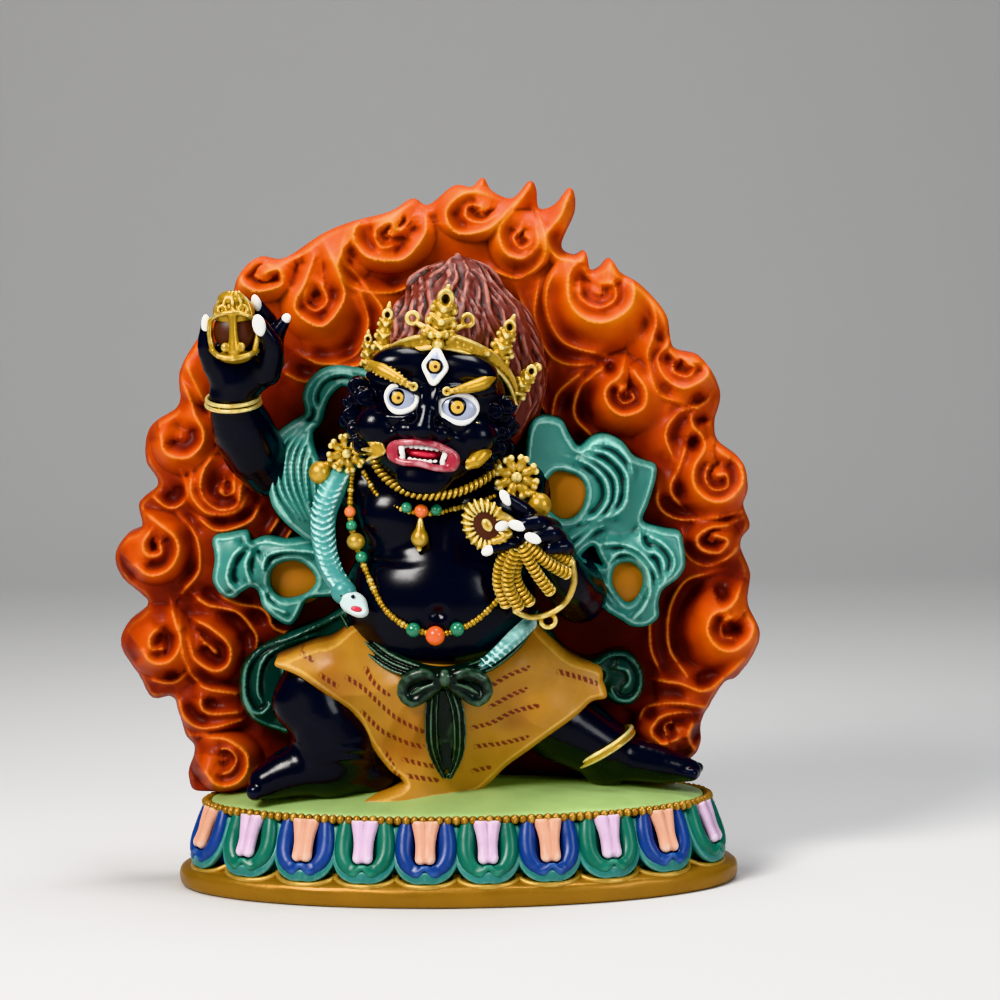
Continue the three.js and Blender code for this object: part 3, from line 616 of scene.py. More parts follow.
# Each crest is a height, a width of its flanks, and the points (x, z) that it runs through.
FLAME_CRESTS = [
    (1.0, 1.9, [(-27, 136), (-33, 132.6), (-40, 133), (-44.2, 129), (-41, 126), (-35.5, 127.2), (-35.8, 130.2), (-38.6, 129.8)]),
    (1.0, 1.9, [(-26.8, 136.4), (-23.6, 130), (-22.5, 124), (-27, 118.5), (-32.5, 122), (-30.4, 128), (-28.6, 133)]),
    (0.7, 1.2, [(-29.6, 127), (-30.6, 123.6), (-28.4, 121.6), (-26, 123.6), (-27, 127)]),
    (1.1, 2.2, [(-7.6, 144.2), (-12, 142.2), (-18.5, 140.6), (-20, 136.4), (-17, 132.8), (-10, 132.3), (-5.6, 137), (-4.8, 141.6)]),
    (0.8, 1.2, [(-7, 139.4), (-10.6, 138.4), (-12.6, 140), (-15.6, 138), (-14.4, 134.8), (-10.8, 135.4)]),
    (0.9, 1.8, [(-21.6, 139.4), (-22.6, 133), (-18.4, 127.4), (-14.2, 121), (-14.6, 113.6), (-20.6, 109.8), (-28, 110.6)]),
    (0.8, 1.6, [(-19.6, 139), (-23.4, 131.4), (-20.4, 126.4), (-12.6, 125.2), (-6.2, 127.6)]),
    (0.7, 1.6, [(-32.8, 112.6), (-27, 110.2), (-20, 112.4), (-17.4, 119), (-19.6, 127)]),
    (0.6, 1.6, [(-36, 108.6), (-31, 106.6), (-26, 108)]),
    (1.1, 2.0, [(9.4, 145.2), (3.6, 145.8), (-0.8, 142), (1.6, 137.6), (8, 138.4), (13, 142.8), (16.8, 147.6)]),
    (0.8, 1.1, [(10.4, 141.6), (7, 139.8), (3.6, 140.6), (3.8, 143), (6.4, 143), (6.6, 141.6)]),
    (1.0, 1.9, [(16.9, 147.2), (13.6, 142.6), (10.5, 138), (11.5, 133.6), (15, 132), (18.2, 134.6), (18, 138.6)]),
    (0.7, 1.0, [(15.6, 138.6), (13.4, 136.4), (14.8, 134.2), (16.6, 135.4), (15.8, 137)]),
    (0.9, 1.8, [(18.2, 143), (19.8, 136.8), (19.4, 131.4), (14.6, 128), (8.6, 129.4)]),
    (1.0, 1.7, [(25.2, 146), (23.2, 141), (20.2, 136.4), (22.2, 132.4), (25.6, 131.4)]),
    (1.1, 2.3, [(28.5, 132.6), (25, 129), (24.8, 123.4), (28, 119.5), (33, 118.9), (37.6, 122), (38, 127), (35.2, 130.5)]),
    (0.8, 1.3, [(27, 127.6), (27.4, 123.6), (31, 121.6), (34.4, 123.4), (34, 126.4), (31.6, 126.6)]),
    (0.9, 1.8, [(22.4, 131), (20, 124.6), (20.8, 118), (24.6, 113.4), (32.4, 111.2)]),
    (0.7, 1.6, [(18.6, 127.6), (17.6, 120), (19.8, 112.8), (24, 109.6), (30, 109.4)]),
    (0.6, 1.5, [(13.8, 126), (16.6, 117), (17.2, 106), (20, 98)]),
    (0.9, 1.8, [(39.6, 126), (44.4, 120.4), (46.2, 115), (43.4, 110.6), (45.2, 106.2), (49, 104.6), (53.6, 107), (53.8, 110)]),
    (0.7, 1.1, [(46.6, 110), (46.8, 107.8), (49.4, 106.9), (51, 108.4), (49.6, 109.6)]),
    (0.8, 1.7, [(41.6, 124.6), (43, 118), (41.2, 111), (43.4, 103.6), (48.6, 101)]),
    (0.7, 1.6, [(55.6, 104), (52.6, 100.6), (47.6, 99), (45, 94.6), (46.6, 89)]),
    (1.0, 1.8, [(36.8, 111.6), (35.2, 107.4), (32.4, 104.4), (33, 101), (36, 99), (40, 100.4), (40.6, 104), (38.4, 108)]),
    (0.7, 1.0, [(37.4, 105.4), (35, 103.6), (36, 101.4), (38.2, 102.2), (37.6, 103.6)]),
    (0.8, 1.7, [(33.4, 110), (27.4, 105), (25.8, 99), (29.4, 94)]),
    (0.7, 1.6, [(28, 108.2), (22.4, 103.4), (20.8, 98)]),
    (1.0, 1.9, [(52.6, 100.6), (50.4, 97.4), (53, 92.6), (50.8, 87.6), (51, 83.6), (54, 80.8), (57.6, 80.8), (60.8, 84), (60.6, 88.4), (57.4, 91.6)]),
    (0.8, 1.1, [(54.4, 89), (53.2, 85.4), (54.8, 83), (57.6, 83.4), (57.6, 85.8), (55.8, 86)]),
    (0.7, 1.6, [(50, 94), (47.8, 88), (46, 82.6), (49, 78)]),
    (0.7, 1.5, [(43.2, 84), (43.6, 79), (48, 76.2), (55, 76.6), (61, 77.8)]),
    (0.8, 1.3, [(61.6, 76.4), (58, 75.2), (54, 74.6), (51.4, 72.4), (52.4, 70), (56, 69.3), (57.8, 71.8), (55.4, 73)]),
    (0.7, 1.5, [(48.6, 74.4), (48.8, 69.4), (53, 66.4), (57.4, 67.6), (61, 71)]),
    (1.1, 2.0, [(61.4, 63.4), (58.4, 58.6), (54.4, 56.4), (53.4, 53), (55.4, 49.8), (58.6, 48.9), (61.8, 51), (63.4, 54)]),
    (0.7, 1.3, [(59.4, 56.4), (56.6, 54.6), (56.6, 51.8), (59, 51.2)]),
    (0.8, 1.8, [(55.4, 65), (49, 63), (45.6, 57), (45.4, 49), (49, 43)]),
    (0.7, 1.6, [(48, 66.4), (42.4, 60), (41.4, 50), (43.6, 43)]),
    (0.9, 1.6, [(40.4, 42.2), (47, 41.6), (52.4, 40), (56.4, 42), (61, 46.6)]),
    (0.9, 1.5, [(51.4, 34.6), (47.4, 35.2), (43.4, 34.4), (41.4, 31.5), (43.4, 28.9), (46.6, 29.4)]),
    (0.7, 1.0, [(46.2, 33.2), (44.4, 32.4), (44.6, 30.6)]),
    (0.8, 1.5, [(50.6, 33.4), (49.4, 29.8), (50.8, 26.4)]),
    (0.8, 1.6, [(38.4, 33), (40.8, 36.4), (47.6, 37.2), (53.6, 36)]),
    (1.0, 1.8, [(-57.4, 108), (-55.4, 103.6), (-54.2, 100), (-52.6, 96.6), (-53, 93.4), (-56.2, 91), (-60.2, 92), (-61.6, 95.6)]),
    (0.7, 1.5, [(-56.6, 112), (-53.4, 105), (-50.6, 99), (-48.4, 93.6)]),
    (1.0, 1.8, [(-49.6, 93), (-52.8, 87.6), (-53, 83), (-50, 80), (-46, 80.6), (-44.6, 84.8)]),
    (0.7, 1.1, [(-49.6, 84.6), (-48.2, 82.8), (-46.4, 83.6), (-46.4, 85.8)]),
    (0.8, 1.5, [(-43.2, 83), (-45.8, 79.3), (-51.4, 78.8), (-55, 82.6), (-55.4, 88)]),
    (0.8, 1.5, [(-40.6, 81), (-43.6, 77), (-49.6, 75.3), (-54, 77.6)]),
    (0.7, 1.3, [(-37, 77.6), (-39, 74.6)]),
    (0.7, 1.3, [(-34.4, 75), (-36, 72.6)]),
    (0.7, 1.6, [(-64.6, 83), (-60, 80), (-56.4, 82.6), (-57.4, 88)]),
    (1.0, 1.9, [(-66.6, 80), (-62.6, 77.4), (-58.8, 74), (-58.4, 70.6), (-60.4, 67.4), (-64, 66.2), (-67.6, 68.2)]),
    (0.8, 1.2, [(-63.6, 76.4), (-65.4, 73), (-64.4, 70.4), (-62, 70.8), (-62.2, 73)]),
    (0.7, 1.6, [(-58.6, 79), (-54.8, 74), (-54.2, 67), (-58, 61.8)]),
    (1.0, 1.9, [(-60.6, 60.6), (-59.2, 56), (-58.2, 52), (-60, 48.3), (-63.6, 47.6), (-66.4, 50.2)]),
    (0.8, 1.1, [(-62.4, 55), (-64.4, 53), (-64.2, 50.6), (-61.8, 50.4)]),
    (1.0, 1.7, [(-57.4, 57), (-52, 54.8), (-48, 51), (-48.2, 47), (-51.2, 45.6), (-55, 48), (-56.4, 52.6)]),
    (0.6, 1.0, [(-53.6, 51.8), (-50.6, 49.2)]),
    (0.8, 1.5, [(-56.4, 62), (-52.4, 59.4), (-46.2, 57.6), (-42.6, 53), (-42.4, 49.6)]),
    (0.7, 1.4, [(-51, 61.6), (-46, 59.7), (-40.8, 58), (-38.2, 54), (-34.6, 52.8)]),
    (0.8, 1.6, [(-58.6, 58.4), (-57.2, 48), (-54.4, 42.4), (-47, 40.2)]),
    (0.7, 1.5, [(-65.6, 43.4), (-60.6, 42.6), (-57.4, 44.6)]),
    (0.8, 1.5, [(-59.6, 39.8), (-58, 35.4), (-54, 33), (-45, 34.6)]),
    (0.7, 1.4, [(-54.6, 40.4), (-53, 36.4), (-46, 36.2)]),
    (1.0, 1.8, [(-57, 31), (-53, 31.2), (-48.6, 30.8), (-44.8, 28), (-44.6, 24.4), (-46.8, 21.8), (-50.4, 21.3), (-53.4, 24)]),
    (0.8, 1.1, [(-51, 28.6), (-48.4, 28.8), (-46.8, 26.8), (-48, 24.4), (-50.2, 23.6)]),
    (0.6, 1.6, [(-40, 34), (-37, 40), (-40, 46)]),
    (0.6, 1.6, [(20.6, 110), (17, 100), (14, 92)]),
]

# The licks swell forward between their crests: middle, half-widths and how far they stand out.
FLAME_SWELLS = [
    (-39.2, 129.4, 7, 6, 5.0), (-28.0, 123.2, 8, 9, 4.6), (-13.0, 137.0, 10, 8, 6.0), (5.0, 141.4, 8, 6, 5.0),
    (14.9, 135.2, 7, 7, 5.0), (31.2, 123.4, 12, 12, 6.8), (48.6, 107.4, 8, 7, 5.0), (36.4, 102.6, 9, 9, 4.6),
    (55.2, 84.8, 8, 9, 5.6), (54.8, 71.6, 6, 5, 4.0), (57.2, 53.0, 10, 11, 6.2), (44.6, 31.6, 7, 6, 4.4),
    (-57.2, 94.8, 7, 8, 4.6), (-49.2, 84.2, 8, 7, 4.2), (-63.4, 71.6, 8, 8, 5.4), (-62.8, 51.4, 8, 8, 5.4),
    (-52.0, 49.8, 7, 8, 4.4), (-49.2, 25.4, 8, 7, 7.4), (-20.0, 117.0, 12, 12, 3.4), (46.0, 92.0, 8, 14, 2.6),
    (-46.0, 66.0, 14, 16, 1.6), (-24.0, 132.0, 7, 9, 3.4), (23.0, 138.0, 4, 8, 2.6), (42.0, 117.0, 6, 9, 3.6),
    (-54.0, 110.0, 5, 9, 2.6), (-52.0, 37.0, 8, 6, 3.0), (50.0, 40.0, 8, 6, 3.4),
]

# Deep cores of the spirals: middle, radius and depth.
FLAME_PITS = [
    (-28.4, 125.4, 1.5, 2.6), (-10.4, 137.0, 1.8, 1.6), (6.0, 141.6, 1.3, 1.4), (15.2, 137.4, 1.4, 2.2),
    (30.8, 126.6, 2.6, 2.8), (48.4, 108.8, 1.6, 2.2), (37.2, 105.4, 1.4, 2.2), (55.4, 87.8, 1.8, 2.4),
    (54.6, 71.6, 1.1, 1.2), (58.6, 53.6, 2.0, 2.4), (45.4, 31.8, 1.2, 1.4), (-57.8, 97.2, 2.4, 3.0),
    (-48.6, 85.6, 1.6, 2.4), (-63.4, 72.4, 1.3, 1.6), (-61.6, 53.6, 1.8, 2.0), (-52.2, 50.4, 1.2, 1.0),
    (-50.0, 26.2, 1.8, 1.8), (32.0, 116.0, 7.0, 0.8), (-20.0, 114.0, 6.0, 0.8), (50.6, 56.6, 4.0, 1.0),
]
print(len(FLAME_CRESTS), "crests,", len(FLAME_SWELLS), "swells")

# %% The flame solid
RAYS = 18
RAYS_FROM = 22.0
RAY_SWING = 1.9
RAY_WAVE = 9.0
fire = Plate(FLAME_OUTLINE, cell=0.3, floor=FLAME_FLOOR, scoop=1.35)
flank, sharp, groove = fire.crests(FLAME_CRESTS)
swells = fire.swells(FLAME_SWELLS)
rim_line = np.exp(-((fire.gap - 0.9) / 0.6) ** 2)
forward = (0.6 + swells + 3.0 * flank + 0.4 * sharp - 1.9 * groove - fire.pits(FLAME_PITS) + 0.3 * rim_line)
ray_angle = np.arctan2(fire.gx, fire.gz - RAYS_FROM)
ray_reach = np.hypot(fire.gx, fire.gz - RAYS_FROM)
rays = np.cos(RAYS * ray_angle + RAY_SWING * np.sin(ray_reach / RAY_WAVE + 2 * ray_angle))
rays = rays * np.clip(ray_reach / 24, 0, 1) * np.exp(-1.4 * flank)
backward = 0.9 * flank + 0.12 * swells + 0.5 * rays - fire.edge_fall(2.4, 1.9)
flames = fire.solid("flame_ring", PLATE_FRONT - forward + fire.edge_fall(2.4, 3.8), PLATE_BACK - 1.4 + backward,
                    None, share=0.3, depth=0.26)
print("flames stand out up to", round(float(forward[fire.inside].max()), 1), "mm")

# %% [markdown]
# The flames are painted red and orange, and part of the colour here is painted light and shade: a
# pale orange on the crests and along the rim is painted highlight, deep red in the hollows is
# painted shade, and the flames are darker towards the figure, where it shades them, and darker
# lower down. The same numbers drive the colour: how near a crest is, how far the lick stands
# out, how far a point is from the figure's middle, and how high it is.

# %% The flame paint
flame_points = read_points(flames.data) / MM
from_middle = np.hypot(flame_points[:, 0] / 62, (flame_points[:, 2] - 62) / 80)
# Painted light and shade: lighter on crests and the rim, darker in grooves, near the figure and lower down.
glow = (0.32 * fire.read(flank, flame_points) + 0.15 * fire.read(sharp, flame_points)
        - 0.4 * fire.read(groove, flame_points) + 0.055 * fire.read(swells, flame_points)
        + 0.1 * fire.read(rim_line, flame_points) + 0.5 * (from_middle - 0.74)
         + 0.0034 * np.clip(flame_points[:, 2] - 84, -22, None))
behind = np.clip((flame_points[:, 1] - 0.5 * (PLATE_FRONT + PLATE_BACK)) / 2, 0, 1)
rear_tone_and_painted_light = 0.22 + 0.16 * fire.read(rays, flame_points) + 0.2 * fire.read(flank, flame_points) + 0.2 * (from_middle - 0.6)
glow = (1 - behind) * glow + behind * rear_tone_and_painted_light
inward = np.clip(fire.read(fire.gap, flame_points) / 0.9, 0, 1)
glow = inward * glow + (1 - inward) * (0.36 + 0.002 * (flame_points[:, 2] - 84))
write_number(flames.data, "glow", glow)


def flame_colour(tree, base):
    tone_and_light_level = add_node(tree, "ShaderNodeAttribute", attribute_name="glow").outputs["Fac"]
    place = add_node(tree, "ShaderNodeTexCoord").outputs["Object"]
    brush = add_node(tree, "ShaderNodeTexNoise", {"Vector": place, "Scale": 260.0, "Detail": 3.0})
    level = maths(tree, "MULTIPLY_ADD", brush.outputs[0], 0.16, maths(tree, "SUBTRACT", tone_and_light_level, 0.08))
    ramp = add_node(tree, "ShaderNodeValToRGB", {"Fac": level})
    stops = ramp.color_ramp.elements
    stops[0].position, stops[0].color = 0.0, colour(72, 12, 5)
    stops[1].position, stops[1].color = 1.0, colour(244, 148, 48)
    for position, tone in ((0.16, colour(120, 28, 7)), (0.38, colour(176, 60, 8)), (0.68, colour(216, 96, 14))):
        stop = stops.new(position)
        stop.color = tone
    return ramp.outputs["Color"]


FLAME = paint("flame_orange", colour(214, 74, 16), colour(70, 12, 5), colour(250, 166, 88), roughness=0.46,
              wash_and_shade_amount=0.75, edge_amount=0.34, unevenness=0.13, bump=0.3, specular=0.24, tinted=flame_colour)
flames.data.materials.append(FLAME)
keep(flames, "flame_aureole")

# %% [markdown]
# ## Clay
# The figure, its clothes and its ornaments bend in every direction, so they are modelled like
# clay. A block of small cells holds, in each cell, the distance to the surface, below zero
# inside. Pressing on a ball or a rod keeps the smaller of two distances, and blending them where
# they are nearly equal gives the soft joints that fingers leave. Blender's own volume library
# turns the zero level into a mesh.


# %% The clay block
FAR_OFF = 6.0


class Clay:
    """Distances to a surface, in millimetres, on a block of cells."""

    def __init__(self, low, high, cell=0.4):
        self.low = np.asarray(low, float)
        self.cell = cell
        self.counts = np.ceil((np.asarray(high, float) - self.low) / cell).astype(int) + 1
        self.field = np.full(self.counts, FAR_OFF, np.float32)

    def part(self, low, high):
        """The slices that cover a box, and the cells' coordinates in it."""
        first = np.clip(np.floor((np.asarray(low) - self.low) / self.cell).astype(int), 0, self.counts)
        last = np.clip(np.ceil((np.asarray(high) - self.low) / self.cell).astype(int) + 1, 0, self.counts)
        if np.any(last <= first):
            return None, None
        axes = [(self.low[k] + self.cell * np.arange(first[k], last[k])).astype(np.float32) for k in range(3)]
        return tuple(slice(a, b) for a, b in zip(first, last)), np.meshgrid(*axes, indexing="ij", sparse=True)

    def add(self, shape, blend=0.8):
        """Presses a shape on, with a fillet about as wide as blend."""
        low, high, distance = shape
        pad = blend + 2 * self.cell
        area, places = self.part(np.asarray(low) - pad, np.asarray(high) + pad)
        if area:
            self.field[area] = soft_min(self.field[area], distance(self, *places), blend)
        return self

    def cut(self, shape, blend=0.5):
        """Takes a shape away, with a rounded edge."""
        low, high, distance = shape
        pad = blend + 2 * self.cell
        area, places = self.part(np.asarray(low) - pad, np.asarray(high) + pad)
        if area:
            self.field[area] = -soft_min(-self.field[area], distance(self, *places), blend)
        return self

    def mesh(self, name, material, smooth=2, share=0.5, times=8, depth=0.12):
        """The surface as a piece. Relief is measured before a share of its triangles is kept."""
        grid = openvdb.FloatGrid(FAR_OFF)
        grid.copyFromArray(self.field)
        points, triangles, quads = grid.convertToPolygons(isovalue=0.0, adaptivity=0.0)
        piece = new_piece(name, points * self.cell + self.low, quads, triangles, material)
        smooth_piece(piece, smooth)
        measure_relief(piece, times, depth)
        return thin_out(piece, share)

    def skin(self, axis=1, far=False):
        """Where the clay begins along an axis, or ends if far, for each place on the other two. Nan beside it."""
        solid = self.field < 0
        step = solid.shape[axis] - 1 - np.flip(solid, axis).argmax(axis) if far else solid.argmax(axis)
        return np.where(solid.any(axis), self.low[axis] + self.cell * step, np.nan)


def soft_min(a, b, blend):
    if blend <= 0:
        return np.minimum(a, b)
    near = np.clip(blend - np.abs(a - b), 0, None)
    return np.minimum(a, b) - near * near * (0.25 / blend)


def smooth_piece(piece, times):
    """Takes the last steps of the cells out of a surface, without shrinking it much."""
    mesh = piece.data
    edges = read_edges(mesh)
    points = read_points(mesh)
    for _ in range(times):
        points = averaged(points, edges, 1)
        points = points + 1.02 * (points - averaged(points, edges, 1))
    mesh.vertices.foreach_set("co", points.astype(np.float32).ravel())
    mesh.update()


print("clay ready")


# %% Shapes to press
def turned(angles):
    """A rotation matrix from degrees about X, Y and Z, in that order."""
    return np.array(Matrix.Rotation(math.radians(angles[2]), 3, "Z")
                    @ Matrix.Rotation(math.radians(angles[1]), 3, "Y")
                    @ Matrix.Rotation(math.radians(angles[0]), 3, "X"))


def ball(at, radii, turn=(0, 0, 0)):
    """An ellipsoid."""
    at = np.asarray(at, float)
    radii = np.broadcast_to(np.asarray(radii, float), 3)
    axes = turned(turn)
    reach = np.abs(axes) @ radii

    def distance(clay, x, y, z):
        rel = (x - at[0], y - at[1], z - at[2])
        local = [sum(rel[k] * axes[k, a] for k in range(3)) / radii[a] for a in range(3)]
        first = np.sqrt(sum(v * v for v in local)) + 1e-6
        second = np.sqrt(sum((v / r) ** 2 for v, r in zip(local, radii))) + 1e-6
        return first * (first - 1) / second

    return at - reach, at + reach, distance


def read_along(values, count):
    """A short list of values read at evenly spaced places, straight between them."""
    values = np.atleast_1d(np.asarray(values, float))
    if len(values) == 1:
        return np.full(count, values[0])
    return np.interp(np.linspace(0, 1, count), np.linspace(0, 1, len(values)), values)


def rod(points, radii, spacing=1.2, straight=False):
    """A round rod along a curve, its radius read along it."""
    line = np.asarray(points, float) if straight else smooth_line(points, spacing)
    sizes = read_along(radii, len(line))
    most = sizes.max()

    def distance(clay, x, y, z):
        total = np.full(np.broadcast_shapes(x.shape, y.shape, z.shape), FAR_OFF, np.float32)
        corner = np.array([x.flat[0], y.flat[0], z.flat[0]])
        for a, b, ra, rb in zip(line[:-1], line[1:], sizes[:-1], sizes[1:]):
            pad = max(ra, rb) + 3.0
            first = np.clip(np.floor((np.minimum(a, b) - pad - corner) / clay.cell).astype(int), 0, total.shape)
            last = np.clip(np.ceil((np.maximum(a, b) + pad - corner) / clay.cell).astype(int) + 1, 0, total.shape)
            if np.any(last <= first):
                continue
            cut = [slice(p, q) for p, q in zip(first, last)]
            px, py, pz = x[cut[0]] - a[0], y[:, cut[1]] - a[1], z[:, :, cut[2]] - a[2]
            d = b - a
            t = np.clip((px * d[0] + py * d[1] + pz * d[2]) / max(float(d @ d), 1e-9), 0, 1)
            gap = np.sqrt((px - t * d[0]) ** 2 + (py - t * d[1]) ** 2 + (pz - t * d[2]) ** 2)
            piece = gap - (ra + t * (rb - ra))
            total[tuple(cut)] = np.minimum(total[tuple(cut)], piece)
        return total

    return line.min(0) - most, line.max(0) + most, distance


def strap(points, widths, thick, facing=(0, -1, 0), folds=0, fold_depth=0.5, spacing=1.2, edge=0.5):
    """A flat band along a curve. Its width is read along it, and folds run lengthwise on its face."""
    line = smooth_line(points, spacing)
    half = read_along(widths, len(line))
    depth = read_along(thick, len(line))
    ahead = np.gradient(line, axis=0)
    ahead /= np.linalg.norm(ahead, axis=1)[:, None]
    view = np.asarray(facing, float)
    view = np.broadcast_to(view, line.shape) if view.ndim == 1 else view
    across = np.cross(ahead, view)
    across /= np.linalg.norm(across, axis=1)[:, None].clip(1e-6)
    front = np.cross(across, ahead)
    most = half.max() + depth.max() + fold_depth

    def distance(clay, x, y, z):
        total = np.full(np.broadcast_shapes(x.shape, y.shape, z.shape), FAR_OFF, np.float32)
        corner = np.array([x.flat[0], y.flat[0], z.flat[0]])
        for k in range(len(line) - 1):
            a, b = line[k], line[k + 1]
            pad = half[k] + depth[k] + 3.0
            first = np.clip(np.floor((np.minimum(a, b) - pad - corner) / clay.cell).astype(int), 0, total.shape)
            last = np.clip(np.ceil((np.maximum(a, b) + pad - corner) / clay.cell).astype(int) + 1, 0, total.shape)
            if np.any(last <= first):
                continue
            cut = [slice(p, q) for p, q in zip(first, last)]
            px, py, pz = x[cut[0]] - a[0], y[:, cut[1]] - a[1], z[:, :, cut[2]] - a[2]
            d = b - a
            t = np.clip((px * d[0] + py * d[1] + pz * d[2]) / max(float(d @ d), 1e-9), 0, 1)
            rx, ry, rz = px - t * d[0], py - t * d[1], pz - t * d[2]
            u = rx * across[k, 0] + ry * across[k, 1] + rz * across[k, 2]
            v = rx * front[k, 0] + ry * front[k, 1] + rz * front[k, 2]
            w = rx * ahead[k, 0] + ry * ahead[k, 1] + rz * ahead[k, 2]
            wide = half[k] + t * (half[k + 1] - half[k])
            deep = depth[k] + t * (depth[k + 1] - depth[k])
            if folds:
                deep = deep + fold_depth * (np.cos(math.pi * folds * u / wide) - 0.6) * (v > 0)
            side = np.maximum(np.abs(u) - wide + edge, 0)
            face = np.maximum(np.abs(v) - deep + edge, 0)
            piece = np.sqrt(side ** 2 + face ** 2 + w ** 2) - edge
            total[tuple(cut)] = np.minimum(total[tuple(cut)], piece)
        return total

    return line.min(0) - most, line.max(0) + most, distance


def hoop(at, radii, thick, axis=(0, -1, 0), spacing=0.8):
    """A ring seen along its axis, with two radii."""
    facing = Vector(axis).to_track_quat("Z", "Y").to_matrix()
    turns = np.linspace(0, 2 * math.pi, 40)
    spots = [Vector(at) + facing @ Vector((radii[0] * math.cos(a), radii[1] * math.sin(a), 0)) for a in turns]
    return rod(np.array(spots), thick, straight=True)


print("shapes ready")

# %% [markdown]
# ## The lotus plinth
# The plinth is an oval bell: a gold foot, a ring of twenty petals that hang outwards, a row of
# beads, and a pale green top that swells a little. The bell is turned from a profile and pressed
# to an oval, so the foot, the wall and the top are each a swept profile.


# %% Oval sweeps
PLINTH_HALF_WIDTH = 59.4
PLINTH_HALF_DEPTH = 29.7


def oval_size(inset):
    """The half sizes of the oval this far inside the foot. Past the foot it draws in more in depth."""
    share = 1 - inset / PLINTH_HALF_WIDTH
    return PLINTH_HALF_WIDTH * share, (PLINTH_HALF_DEPTH - min(0.3 * inset, 2.2)) * share


def oval_sweep(name, profile, material, sides=240, dents=0.0):
    """A closed oval solid from (inset, z) pairs. Its first and last pair close onto the axis."""
    line = smooth_line(profile, 0.6)
    rows = []
    for inset, z in line:
        a, b = oval_size(inset)
        angle = np.linspace(0, 2 * math.pi, sides, endpoint=False)
        wave = dents * (np.sin(5 * angle + 1) + np.sin(11 * angle + z) + np.sin(23 * angle + 2 * z)) / 3
        rows.append(np.stack([(a + wave) * np.cos(angle), (b + wave) * np.sin(angle),
                              np.maximum(z + 0.5 * wave, 0)], 1))
    points = np.concatenate(rows + [np.array([[0, 0, line[0, 1]], [0, 0, line[-1, 1]]])])
    k = np.arange(sides)
    n = (k + 1) % sides
    quads = [np.stack([r * sides + k, r * sides + n, (r + 1) * sides + n, (r + 1) * sides + k], 1)
             for r in range(len(line) - 1)]
    first, last = len(points) - 2, len(points) - 1
    caps = np.concatenate([np.stack([n, k, np.full(sides, first)], 1),
                           np.stack([(len(line) - 1) * sides + k, (len(line) - 1) * sides + n,
                                     np.full(sides, last)], 1)])
    piece = new_piece(name, points, np.concatenate(quads), caps, material)
    measure_relief(piece, times=4, depth=0.25)
    return thin_out(piece, 0.4)


PLINTH_GREEN = paint("plinth_wall_green", colour(20, 70, 62), colour(4, 20, 18), colour(70, 140, 120))
TOP_GREEN = paint("top_green", colour(158, 186, 118), colour(74, 112, 52), colour(206, 226, 168),
                  roughness=0.42, wash_and_shade_amount=0.6, edge_amount=0.4, unevenness=0.12, bump=0.35)
foot = oval_sweep("plinth_foot", [(3.4, 0.0), (1.4, 0.02), (0.35, 0.5), (0.05, 1.6), (0.0, 2.8), (0.4, 3.9),
                                  (1.4, 4.5), (3.0, 4.9), (5.2, 5.3), (7.6, 5.4)], FOOT_GOLD, dents=0.12)
wall = oval_sweep("plinth_wall", [(7.6, 5.0), (6.6, 6.0), (7.6, 9.0), (9.0, 13.0), (9.0, 17.0), (11.0, 17.6)],
                  PLINTH_GREEN)
top = oval_sweep("plinth_top", [(11.0, 16.8), (7.4, 16.9), (7.1, 17.6), (7.4, 18.3), (9.0, 18.7), (14.0, 19.3),
                                (24.0, 20.4), (38.0, 21.3), (54.0, 21.7)], TOP_GREEN, dents=0.1)
keep(foot, "lotus_base")
keep(wall, "lotus_base")
keep(top, "lotus_base")

# %% [markdown]
# ## Rows by Geometry Nodes
# Petals, beads and necklace ribs all repeat along a line, so one node tree places them: it
# divides a path evenly, puts a copy of a shape on each point with its X axis along the path, and
# makes the copies real, because an export drops instances. The tree has named inputs, and each
# use sets them by the sockets' identifiers.


